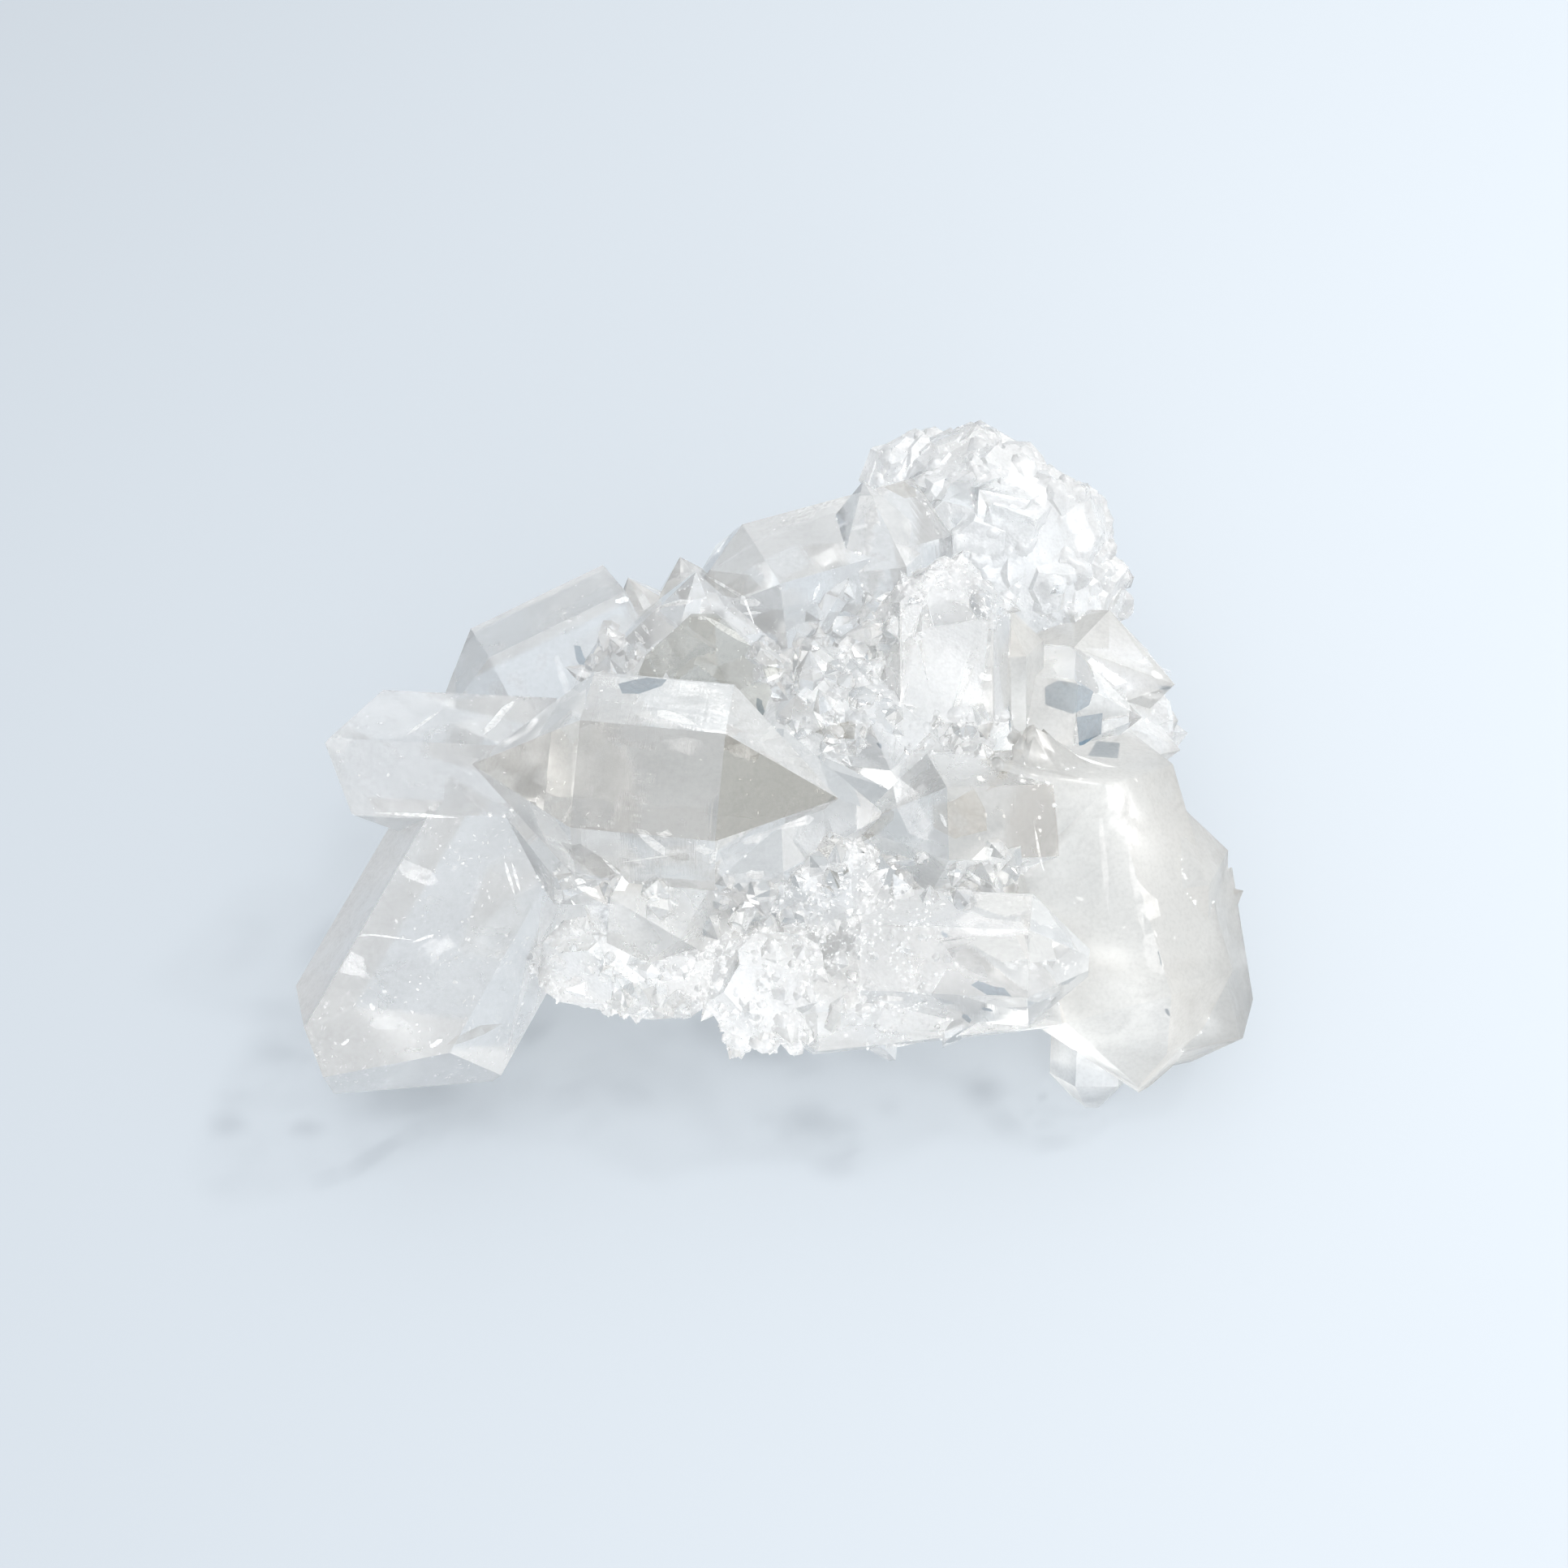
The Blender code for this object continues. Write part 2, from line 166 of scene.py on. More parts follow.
# The sugary crusts: where, and how many knobs, small six-sided points and fine grains each has,
# with the range of their sizes.
CRUSTS = {
    "top": dict(
        centre=(24.5, 28.5, 24), reach=(17.5, 14, 18), white=True,
        knobs=(300, 0.6, 2.0), points=(0, 0, 0), shards=(0, 0, 0), grains=(900, 0.06, 0.17),
    ),
    "top_left": dict(
        centre=(17, 37, 26), reach=(9, 9, 10), white=True,
        knobs=(90, 0.6, 1.6), points=(0, 0, 0), shards=(0, 0, 0), grains=(220, 0.06, 0.17),
    ),
    "top_right": dict(
        centre=(32, 25, 21), reach=(10, 10, 13), white=True,
        knobs=(120, 0.6, 1.8), points=(0, 0, 0), shards=(0, 0, 0), grains=(380, 0.06, 0.17),
    ),
    "right": dict(
        centre=(37, 9, 17), reach=(12, 11, 13), white=True,
        knobs=(110, 0.4, 1.0), points=(0, 0, 0), shards=(0, 0, 0), grains=(300, 0.06, 0.17),
    ),
    "dome": dict(
        centre=(17.7, 9, 42), reach=(8, 8, 6.5), white=False,
        knobs=(60, 0.7, 2.1), points=(14, 0.3, 0.7), shards=(10, 0.6, 1.2), grains=(420, 0.06, 0.17),
    ),
    "column": dict(
        centre=(17, -3, 34), reach=(8, 5, 6), white=False,
        knobs=(60, 0.5, 1.6), points=(20, 0.3, 0.7), shards=(8, 0.6, 1.2), grains=(90, 0.08, 0.2),
    ),
    "upper": dict(
        centre=(6.5, -0.5, 33), reach=(8, 7, 7), white=False,
        knobs=(70, 0.6, 2.0), points=(20, 0.3, 0.8), shards=(16, 0.6, 1.6), grains=(140, 0.08, 0.2),
    ),
    "front": dict(
        centre=(-2, -28, 19), reach=(8, 8, 7), white=True,
        knobs=(170, 0.4, 1.2), points=(110, 0.25, 0.7), shards=(6, 0.5, 1.1), grains=(1100, 0.08, 0.24),
    ),
    "middle": dict(
        centre=(4.5, -19, 27), reach=(7, 6, 7), white=True,
        knobs=(130, 0.4, 1.2), points=(90, 0.25, 0.7), shards=(8, 0.5, 1.2), grains=(900, 0.08, 0.24),
    ),
    "low": dict(
        centre=(12, -26, 22), reach=(11, 8, 8), white=True,
        knobs=(170, 0.4, 1.2), points=(90, 0.25, 0.7), shards=(6, 0.5, 1.2), grains=(1000, 0.08, 0.24),
    ),
    "left": dict(
        centre=(-16, -24, 18), reach=(13, 7, 6), white=True,
        knobs=(150, 0.4, 1.1), points=(120, 0.25, 0.7), shards=(8, 0.5, 1.2), grains=(1100, 0.08, 0.24),
    ),
}
# Gaps between the large crystals that smaller clear ones fill.
GAPS = {
    "left of the peak": ((-19, 1, 37), (6, 5, 6), 12, (0.7, 1.5)),
    "right of the peak": ((0, 1, 39), (6, 5, 6), 18, (0.7, 1.7)),
    "behind the shard": ((6, 10, 36), (7, 6, 6), 26, (0.7, 2.0)),
    "under the centre": ((-10, -20, 26), (14, 4, 8), 34, (0.7, 1.8)),
    "under the step": ((-3.5, -19, 20), (5, 4, 5), 18, (0.7, 1.8)),
    "under the bridge": ((19, -18, 27), (9, 4, 5), 24, (0.7, 1.6)),
    "under the pane": ((24, -6, 34), (7, 5, 5), 10, (0.5, 1.2)),
}

# Flat patches just under the skin: kind, outline, place, direction of the length, length and width.
# They paint light and shade seen in the crystals: glints, reflections and bright zones, and the
# shade of darker surroundings seen through the faces.
PATCHES = {
    "kite edge": ("bright", "sliver", (-6.1, 1.1, 45.2), (0.9, -0.4, -0.3), 6.8, 0.9),
    "peak edge": ("bright", "sliver", (-5.9, 10.9, 40.2), (0.7, -0.7, 0.2), 10.6, 0.5),
    "peak glint": ("bright", "chip", (-3.8, 9.1, 40.1), (1, -0.2, 0.1), 2.4, 1),
    "second peak glint": ("bright", "sliver", (-3.6, 8.5, 39), (1, -0.1, 0.2), 2.3, 0.5),
    "white panel": ("bright", "chip", (-19.2, 5.2, 39.6), (0.7, -0.6, -0.4), 2.8, 1.5),
    "back glint": ("bright", "chip", (-18.6, 14.3, 34.4), (1, 0.3, 0), 1.8, 0.7),
    "corner glint": ("bright", "sliver", (-16, 3.3, 41.5), (0.5, -0.8, 0.1), 2.2, 0.6),
    "step sliver": ("bright", "sliver", (-11.3, -11.7, 46.8), (0.8, -0.5, 0.2), 5.3, 2.5),
    "step block": ("bright", "pane", (-0.9, -1.2, 41.6), (0.5, 0.8, -0.3), 3, 1.1),
    "first glint": ("bright", "chip", (-13.7, -22.9, 40.1), (0.4, 0, -0.9), 5.2, 1.5),
    "second glint": ("bright", "chip", (-12.3, -23.1, 41.7), (1, 0.1, 0.1), 1.7, 1.2),
    "third glint": ("bright", "chip", (-8.3, -23.3, 39.3), (0.6, 0, -0.8), 2.4, 1.9),
    "fourth glint": ("bright", "chip", (-7.3, -23.3, 38), (0.3, -0.1, 0.9), 3.4, 0.7),
    "fifth glint": ("bright", "chip", (-3, -22.2, 32.8), (1, 0, -0.2), 2, 2.5),
    "long glint": ("bright", "sliver", (-12.9, -22.4, 28.6), (0.9, -0.4, -0.3), 3.7, 0.4),
    "thin glint": ("bright", "sliver", (-18.1, -22, 33.6), (0.4, 0, -0.9), 4.1, 0.5),
    "low glint": ("bright", "chip", (-21.1, -21.6, 29.2), (0.8, -0.5, -0.4), 3.2, 1.1),
    "column block": ("soft", "pane", (12.4, -1, 38.1), (0, -0.8, -0.6), 4.6, 5.6),
    "column glint": ("bright", "chip", (12.6, -1.2, 38), (0.2, -0.8, -0.6), 3, 1.6),
    "column rim": ("soft", "chip", (8, 7.7, 33), (0.9, 0.2, -0.4), 3.5, 2.9),
    "window side": ("bright", "pane", (28.6, -5.7, 35.2), (0.2, -0.9, -0.3), 3.5, 2),
    "window rim": ("bright", "sliver", (32.3, 3.5, 33.5), (0.9, -0.4, 0.2), 4, 0.5),
    "low window rim": ("bright", "sliver", (33.3, -6.2, 31.3), (1, -0.3, 0.1), 6.7, 1.3),
    "top ridge": ("soft", "chip", (28.5, 27.4, 39.9), (0.5, -0.9, -0.1), 6.9, 4.4),
    "top glow": ("soft", "chip", (21.6, 28.6, 40.6), (0.6, -0.3, -0.7), 5.1, 3.6),
    "right dome": ("soft", "chip", (34.8, 24.7, 35.1), (0.4, -0.5, -0.8), 6.5, 3.6),
    "bridge mist": ("soft", "chip", (13.7, -14.3, 33.2), (0.4, -0.8, -0.4), 7.7, 2.8),
    "middle glow": ("soft", "chip", (3.8, -23.3, 31.2), (0.5, -0.5, -0.7), 6.5, 3.6),
    "low mist": ("soft", "chip", (-18.5, -23.6, 26.6), (1, -0.3, 0), 6.5, 3.9),
    "upper left cloud": ("soft", "chip", (-40.4, -18.1, 27.1), (0.9, -0.4, -0.2), 6, 2.1),
    "frost line": ("bright", "sliver", (-44.6, -24.7, 24.9), (1, -0.1, -0.1), 8.2, 0.3),
    "frost edge": ("bright", "sliver", (-39, -24.9, 24.5), (0.9, 0.3, 0.1), 2.7, 0.4),
    "frost cloud": ("soft", "chip", (-47.2, -27.6, 24), (0.8, -0.5, -0.2), 4.7, 2.9),
    "tip glint": ("bright", "chip", (-37.3, -35.6, 20.5), (0.9, 0.5, 0.1), 1.8, 0.5),
    "low tip glint": ("bright", "chip", (-46.9, -35.8, 21), (0.8, 0.6, 0.2), 1.1, 0.4),
    "grey wedge": ("painted_shade", "sliver", (-33.6, -33.8, 19.2), (0.6, 0.6, -0.6), 8.7, 1.6),
    "point edge": ("bright", "sliver", (-39.7, -3.1, 34.5), (-0.6, -0.8, 0.2), 6, 0.5),
    "point line": ("bright", "sliver", (-40.2, -12.1, 29.3), (1, 0, -0.1), 8, 0.4),
    "lobe mist": ("soft", "chip", (41.3, -32.2, 18.9), (0.4, -0.3, -0.9), 8, 2.7),
    "clear glow": ("soft", "chip", (21.9, -26.4, 29.7), (0.9, -0.4, 0.2), 7.5, 4.4),
    "tip mist": ("soft", "chip", (0.3, -18.6, 36.6), (0.8, 0.5, -0.3), 8.4, 1.2),
    "silver glint": ("bright", "chip", (43.1, 8.2, 28.3), (0.8, -0.5, -0.1), 1.5, 0.9),
    "low silver glint": ("bright", "chip", (43.1, 6.5, 26.3), (0.9, 0.1, -0.5), 3.5, 1.2),
    "silver shade": ("blue", "sliver", (43.9, 6.7, 27.5), (0.9, 0.1, -0.5), 2.7, 0.9),
    "post glint": ("bright", "chip", (22.4, -0.2, 38.7), (1, -0.1, -0.1), 1.9, 0.9),
    "bridge block": ("bright", "chip", (21.4, -18.8, 30.9), (0.8, 0.6, 0.2), 3, 1.8),
    "bridge glint": ("bright", "sliver", (17.1, -15.9, 33.8), (0.4, -0.8, -0.4), 1.8, 0.5),
    "bridge star": ("bright", "chip", (21.3, -10.7, 34.5), (0.3, -0.9, 0.4), 1.3, 0.8),
    "block star": ("bright", "chip", (26, -10.6, 33.9), (0.9, -0.4, 0.1), 0.7, 0.9),
    "thin line": ("bright", "sliver", (3.6, 10.6, 40.1), (0.4, 0.6, 0.7), 2, 0.6),
    "left rim": ("bright", "sliver", (-31.3, -0.8, 33.3), (0.4, 0.9, -0.2), 9.4, 1.1),
    "prism streak": ("bright", "sliver", (-30, -18.4, 26.4), (0.3, -0.9, -0.3), 4.2, 0.4),
    "second prism streak": ("bright", "sliver", (-29.3, -18.3, 26.4), (0.3, -0.9, -0.3), 3.6, 0.4),
    "left glint": ("bright", "chip", (-24.7, -19.3, 35.2), (0.4, -0.4, 0.8), 2.4, 0.6),
    "right streak": ("soft", "chip", (39.9, -27.3, 25.2), (0.3, -0.8, -0.5), 4.6, 2.4),
    "right cloud": ("soft", "chip", (39, -22.6, 28), (0.7, -0.3, -0.7), 5.1, 3.1),
    "upper band": ("bright", "sliver", (-12.2, 5, 45.1), (0.8, -0.3, 0.5), 5.2, 0.8),
    "panel edge": ("bright", "sliver", (-15.3, 3.9, 42.2), (0.5, -0.9, 0.1), 2.4, 0.6),
    "low streak": ("bright", "sliver", (-14.1, -22.6, 36.5), (0.9, -0.1, 0.4), 5.7, 0.4),
    "lump rim": ("bright", "sliver", (5.1, -4.8, 36.5), (1, 0, -0.2), 3.8, 0.5),
    "lump glow": ("soft", "chip", (4.8, -3.2, 38.3), (0.4, -0.2, -0.9), 3.6, 1.2),
    "left streak": ("soft", "chip", (-45.7, -28.6, 23.6), (0.8, -0.5, -0.2), 2.4, 0.8),
    "left spot": ("bright", "chip", (-44.2, -32.1, 22.2), (0.6, -0.7, -0.3), 1, 0.5),
    "left corner": ("bright", "chip", (-37.2, -35.6, 20.5), (0.8, 0.6, 0.2), 1.6, 0.5),
    "right fleck": ("bright", "chip", (32.1, -21.4, 26.8), (0.9, -0.5, 0), 0.9, 0.4),
    "lobe edge": ("bright", "sliver", (27.5, -17, 29.4), (0.1, -0.6, -0.8), 5, 0.4),
    "lobe corner": ("soft", "chip", (26.9, -18, 27.6), (0.9, -0.3, 0), 3.4, 2.4),
    "lobe line": ("soft", "sliver", (34.5, -18.5, 30), (0.1, -0.8, -0.6), 11, 0.7),
    "second lobe line": ("soft", "sliver", (37.9, -21.8, 28.7), (0.2, -0.8, -0.6), 9, 0.8),
    "lobe fleck": ("bright", "chip", (33.6, -8.8, 33.1), (0.8, 0.3, -0.4), 0.8, 0.5),
    "upper lobe fleck": ("bright", "chip", (38.5, -9.7, 32.8), (0.6, -0.5, -0.6), 0.9, 0.4),
    "side lobe fleck": ("bright", "chip", (44.1, -17.5, 25.3), (0.3, -0.9, -0.3), 0.8, 0.4),
    "low lobe fleck": ("bright", "chip", (40.1, -25.3, 26.1), (0.5, -0.7, -0.5), 0.8, 0.4),
    "wedge glint": ("bright", "chip", (38.6, -33.2, 15.1), (0.8, 0, 0.6), 1.6, 0.5),
    "wedge shade": ("blue", "sliver", (40.5, -27.7, 25), (0.3, -0.7, -0.6), 1.8, 0.3),
    "low wedge shade": ("blue", "chip", (41.6, -31.9, 20.1), (0.6, -0.2, -0.8), 1.5, 0.5),
    "blue notch": ("blue", "chip", (-15.1, -5.3, 44.2), (0.8, 0.5, -0.3), 6.6, 3.2),
    "dark notch": ("blue", "chip", (-23.1, 8.1, 31.2), (0.4, -0.7, -0.5), 3.3, 1.2),
    "upper pane": ("blue", "chip", (32.4, 2.3, 32.6), (1, 0.1, 0.2), 7.2, 4),
    "lower pane": ("blue", "pane", (34.6, -0.3, 29.2), (0.86, 0.45, -0.23), 4.2, 3.2),
    "lower pane foot": ("blue", "pane", (36, -2.4, 28.5), (1, -0.1, 0), 3.3, 6.2),
    "blue wedge": ("blue", "chip", (-2.6, -5.2, 39.9), (0.2, -0.7, -0.6), 2, 0.8),
    "blue band": ("blue", "chip", (22.2, -32.5, 26.2), (0.9, -0.3, -0.1), 4.4, 1.2),
    "post shade": ("blue", "sliver", (25.2, -1.4, 32.9), (0, -0.7, -0.7), 3.4, 1.3),
    "hanging shade": ("blue", "chip", (19.8, -32.2, 19.6), (0.3, 0, -0.9), 2.3, 0.8),
    "dark sliver": ("blue", "sliver", (21.8, -32.6, 22.3), (0.9, -0.1, -0.3), 1.6, 0.8),
    "dark fleck": ("blue", "chip", (17, -27.2, 29), (0.8, -0.6, -0.2), 0.9, 0.5),
    "upper fleck": ("blue", "chip", (10.4, -7.1, 35.5), (0.8, -0.6, 0), 0.9, 0.5),
    # The patches below paint shade: the darker tones that darker surroundings give the faces.
    "green chip": ("painted_shade", "chip", (10.1, -14.4, 31.1), (0.7, 0.3, 0.6), 5.8, 2.5),
    "brown chip": ("painted_shade", "chip", (5.5, -6, 36.3), (0.8, -0.5, 0.4), 6.4, 2.6),
    "brown bowl": ("painted_shade", "chip", (18.9, -15.4, 34), (1, 0.3, -0.1), 7.4, 5),
    "brown fold": ("painted_shade", "sliver", (23.8, -9.7, 33.7), (-0.4, -0.8, 0.4), 9.3, 1.2),
    "shaded wing": ("painted_shade", "pane", (-20.6, -21.8, 34.8), (0.6, 0, -0.8), 8, 3.8),
    "shaded back": ("painted_shade", "chip", (-7.1, 12.3, 40), (0.8, -0.5, 0.3), 9.5, 3.6),
    "beige patch": ("painted_shade", "chip", (13.3, 26.9, 40.1), (0.7, -0.7, -0.1), 5.1, 2.5),
    "golden chip": ("painted_shade", "chip", (-10.9, -22.9, 37.6), (1, -0.1, -0.2), 2.6, 2.1),
}
# Half an outline's length and width are one unit each.
OUTLINES = {
    "sliver": ((-1, 0), (-0.4, -0.8), (0.5, -0.7), (1, 0), (0.3, 0.9), (-0.6, 0.6)),
    "pane": ((-1, -1), (0.85, -0.9), (1, 0.8), (-0.8, 1)),
    "chip": ((-1, -0.3), (-0.3, -1), (0.6, -0.8), (1, 0.1), (0.5, 1), (-0.2, 0.7), (-0.8, 0.8)),
}
# Each kind of patch: its colour, how much it covers, how much of that its clouds thin, their
# scale, and its own share of light, which is a painted glow. The bright patches are painted glints
# and reflections, the soft ones milky clouds with a faint painted glow, the blue ones painted shade
# of shaded surroundings seen through the faces, and the dark ones painted shade.
PATCH_LOOKS = {
    "bright": ((0.93, 0.94, 0.94), 1, 0.75, 1500, 0.2),
    "soft": ((1, 1, 1), 0.4, 0.95, 700, 0.06),
    "blue": ((0.17, 0.245, 0.31), 0.9, 0.3, 900, 0),
    "painted_shade": ((0.30, 0.28, 0.235), 0.44, 0.7, 350, 0),
}
RAGGED = 0.2  # how far a patch's corners stray
PATCH_DEPTH = 0.22 * MM

# How many chips lie just under the skin of each crystal that holds some.
SPECKLED = {
    "low_left": 720, "left_point": 40, "back_left": 24, "centre": 80, "peak_front": 36,
    "peak": 40, "back_slope": 70, "mid_upright": 140, "right_big": 220, "right_shoulder": 60,
    "right_block": 60, "bridge": 50, "low_mid": 130, "low_clear": 120, "low_rail": 40,
    "window": 30, "right_top": 30,
}
SPECK_DEPTHS = (0.3, 2.6)
# The same for the crusts.
SPECKLED_CRUSTS = {"top": 420, "top_left": 90, "top_right": 200, "right": 120, "dome": 110}
CRUST_SPECK_DEPTHS = (0.08, 0.5)

PATCH_SIZE = 3.2 * MM  # of the bare and covered patches within a crust
SEAM_STEP = 1.1 * MM
SEAM_SIZES = (0.10 * MM, 0.34 * MM)
VEILS_EACH = 6
UNVEILED = ("centre", "peak_front")


def placed(point):
    """A place in the crystals' layout, in millimetres, as one in the frame, in metres."""
    return (Vector(point) - LAYOUT_MIDDLE) * MM


def linked(obj):
    bpy.context.scene.collection.objects.link(obj)
    return obj


# ---------------------------------------------------------------- shared effects

def new_group(name, inputs, outputs):
    """A shader node group with named inputs (and their values) and outputs."""
    group = bpy.data.node_groups.new(name, "ShaderNodeTree")
    for label, kind, value in inputs:
        socket = group.interface.new_socket(label, in_out="INPUT", socket_type=kind)
        if value is not None:
            socket.default_value = value
    for label, kind in outputs:
        group.interface.new_socket(label, in_out="OUTPUT", socket_type=kind)
    nodes = group.nodes
    return group, nodes, group.links, nodes.new("NodeGroupInput"), nodes.new("NodeGroupOutput")


def calculated(nodes, links, operation, first, second, third=None):
    """A Math node on sockets or plain numbers."""
    node = nodes.new("ShaderNodeMath")
    node.operation = operation
    for socket, value in zip(node.inputs, (first, second, third)):
        if isinstance(value, bpy.types.NodeSocket):
            links.new(value, socket)
        elif value is not None:
            socket.default_value = value
    return node.outputs[0]


def cloudiness():
    """Soft clouds of milkiness with fine specks: Shade is 1 where clear, less where cloudy."""
    group, nodes, links, inside, out = new_group(
        "cloudiness",
        [
            ("Place", "NodeSocketVector", None), ("Scale", "NodeSocketFloat", 220.0),
            ("Depth", "NodeSocketFloat", 0.1), ("Mottling", "NodeSocketFloat", 0.0),
        ],
        [("Shade", "NodeSocketFloat"), ("Cloud", "NodeSocketFloat")],
    )
    clouds = nodes.new("ShaderNodeTexNoise")
    clouds.inputs["Detail"].default_value = 6
    clouds.inputs["Roughness"].default_value = 0.62
    clouds.inputs["Distortion"].default_value = 0.7
    links.new(inside.outputs["Place"], clouds.inputs["Vector"])
    links.new(inside.outputs["Scale"], clouds.inputs["Scale"])
    spread = nodes.new("ShaderNodeMapRange")
    spread.inputs["From Min"].default_value = 0.36
    spread.inputs["From Max"].default_value = 0.66
    links.new(clouds.outputs["Fac"], spread.inputs["Value"])
    fine = nodes.new("ShaderNodeTexNoise")
    fine.inputs["Scale"].default_value = 2400
    fine.inputs["Detail"].default_value = 3
    links.new(inside.outputs["Place"], fine.inputs["Vector"])
    centred = calculated(nodes, links, "SUBTRACT", fine.outputs["Fac"], 0.5)
    mottled = calculated(nodes, links, "MULTIPLY", centred, inside.outputs["Mottling"])
    lost = calculated(
        nodes, links, "MULTIPLY_ADD", spread.outputs["Result"], inside.outputs["Depth"], mottled
    )
    whole = calculated(nodes, links, "SUBTRACT", 1.0, lost)
    shade = calculated(nodes, links, "MINIMUM", whole, 1.0)
    links.new(shade, out.inputs["Shade"])
    links.new(spread.outputs["Result"], out.inputs["Cloud"])
    return group


def growth_lines():
    """Fine steps across a crystal, from the distance along it."""
    group, nodes, links, inside, out = new_group(
        "growth_lines",
        [("Along", "NodeSocketFloat", 0.0), ("Lines per metre", "NodeSocketFloat", 2600.0)],
        [("Height", "NodeSocketFloat")],
    )
    reading = calculated(
        nodes, links, "MULTIPLY", inside.outputs["Along"], inside.outputs["Lines per metre"]
    )
    steps = nodes.new("ShaderNodeTexNoise")
    steps.noise_dimensions = "1D"
    steps.inputs["Scale"].default_value = 1
    steps.inputs["Detail"].default_value = 3
    steps.inputs["Roughness"].default_value = 0.7
    links.new(reading, steps.inputs["W"])
    links.new(steps.outputs["Fac"], out.inputs["Height"])
    return group


def etched_skin():
    """Tiny flat-sided hillocks over a slow waviness."""
    group, nodes, links, inside, out = new_group(
        "etched_skin",
        [
            ("Place", "NodeSocketVector", None), ("Grain", "NodeSocketFloat", 3200.0),
            ("Sugar", "NodeSocketFloat", 0.0),
        ],
        [("Height", "NodeSocketFloat")],
    )
    hillocks = nodes.new("ShaderNodeTexVoronoi")
    links.new(inside.outputs["Place"], hillocks.inputs["Vector"])
    links.new(inside.outputs["Grain"], hillocks.inputs["Scale"])
    knolls = nodes.new("ShaderNodeTexVoronoi")
    knolls.inputs["Scale"].default_value = 950
    links.new(inside.outputs["Place"], knolls.inputs["Vector"])
    both = calculated(
        nodes, links, "MULTIPLY_ADD", knolls.outputs["Distance"], 2.2, hillocks.outputs["Distance"]
    )
    waves = nodes.new("ShaderNodeTexNoise")
    waves.inputs["Scale"].default_value = 420
    waves.inputs["Detail"].default_value = 5
    links.new(inside.outputs["Place"], waves.inputs["Vector"])
    hills = calculated(nodes, links, "MULTIPLY", both, inside.outputs["Sugar"])
    height = calculated(nodes, links, "MULTIPLY_ADD", waves.outputs["Fac"], 0.5, hills)
    links.new(height, out.inputs["Height"])
    return group


# ---------------------------------------------------------------- materials

def new_material(name):
    material = bpy.data.materials.new(name)
    material.use_nodes = True
    return material, material.node_tree.nodes, material.node_tree.links


def effect(nodes, group, **values):
    """A shared effect placed in a material with its own values."""
    node = nodes.new("ShaderNodeGroup")
    node.node_tree = group
    for label, value in values.items():
        node.inputs[label.replace("_", " ")].default_value = value
    return node


def see_through(material, nodes, links, lamp_share):
    """Lets lamp light through to what is behind, so that shadows inside stay soft."""
    out = nodes["Material Output"]
    lamps = nodes.new("ShaderNodeBsdfTransparent")
    lamps.inputs["Color"].default_value = (lamp_share, lamp_share, lamp_share, 1)
    path = nodes.new("ShaderNodeLightPath")
    mix = nodes.new("ShaderNodeMixShader")
    links.new(path.outputs["Is Shadow Ray"], mix.inputs[0])
    links.new(nodes["Principled BSDF"].outputs[0], mix.inputs[1])
    links.new(lamps.outputs[0], mix.inputs[2])
    links.new(mix.outputs[0], out.inputs["Surface"])


def quartz(effects):
    """Clear quartz: tinted, frosted, lined and etched face by face."""
    material, nodes, links = new_material("clear_quartz")
    shader = nodes["Principled BSDF"]
    shader.inputs["Transmission Weight"].default_value = 0.74
    shader.inputs["IOR"].default_value = 1.544
    place = nodes.new("ShaderNodeTexCoord").outputs["Object"]
    tone = nodes.new("ShaderNodeAttribute")
    tone.attribute_name = "tone"
    growth = nodes.new("ShaderNodeAttribute")
    growth.attribute_name = "growth"
    split = nodes.new("ShaderNodeSeparateColor")
    links.new(growth.outputs["Color"], split.inputs[0])
    along, sugar, lined = split.outputs[0], split.outputs[1], split.outputs[2]

    clouds = effect(nodes, effects["cloudiness"], Scale=230, Depth=0.08, Mottling=0.4)
    links.new(place, clouds.inputs["Place"])
    tint = nodes.new("ShaderNodeVectorMath")
    tint.operation = "SCALE"
    links.new(tone.outputs["Color"], tint.inputs[0])
    links.new(clouds.outputs["Shade"], tint.inputs["Scale"])
    links.new(tint.outputs["Vector"], shader.inputs["Base Color"])
    patchy = calculated(nodes, links, "MULTIPLY_ADD", clouds.outputs["Cloud"], 0.8, 0.6)
    frost = calculated(nodes, links, "MULTIPLY", patchy, tone.outputs["Alpha"])
    links.new(frost, shader.inputs["Roughness"])

    lines = effect(nodes, effects["growth_lines"])
    links.new(along, lines.inputs["Along"])
    skin = effect(nodes, effects["etched_skin"])
    links.new(place, skin.inputs["Place"])
    links.new(sugar, skin.inputs["Sugar"])
    steps = calculated(nodes, links, "MULTIPLY", lines.outputs["Height"], lined)
    height = calculated(nodes, links, "ADD", steps, skin.outputs["Height"])
    bump = nodes.new("ShaderNodeBump")
    bump.inputs["Strength"].default_value = 0.35
    bump.inputs["Distance"].default_value = 0.12 * MM
    links.new(height, bump.inputs["Height"])
    links.new(bump.outputs["Normal"], shader.inputs["Normal"])

    depth = nodes.new("ShaderNodeVolumeAbsorption")
    depth.inputs["Color"].default_value = (0.75, 0.74, 0.7, 1)
    depth.inputs["Density"].default_value = 6
    links.new(depth.outputs["Volume"], nodes["Material Output"].inputs["Volume"])
    see_through(material, nodes, links, 0.975)
    return material


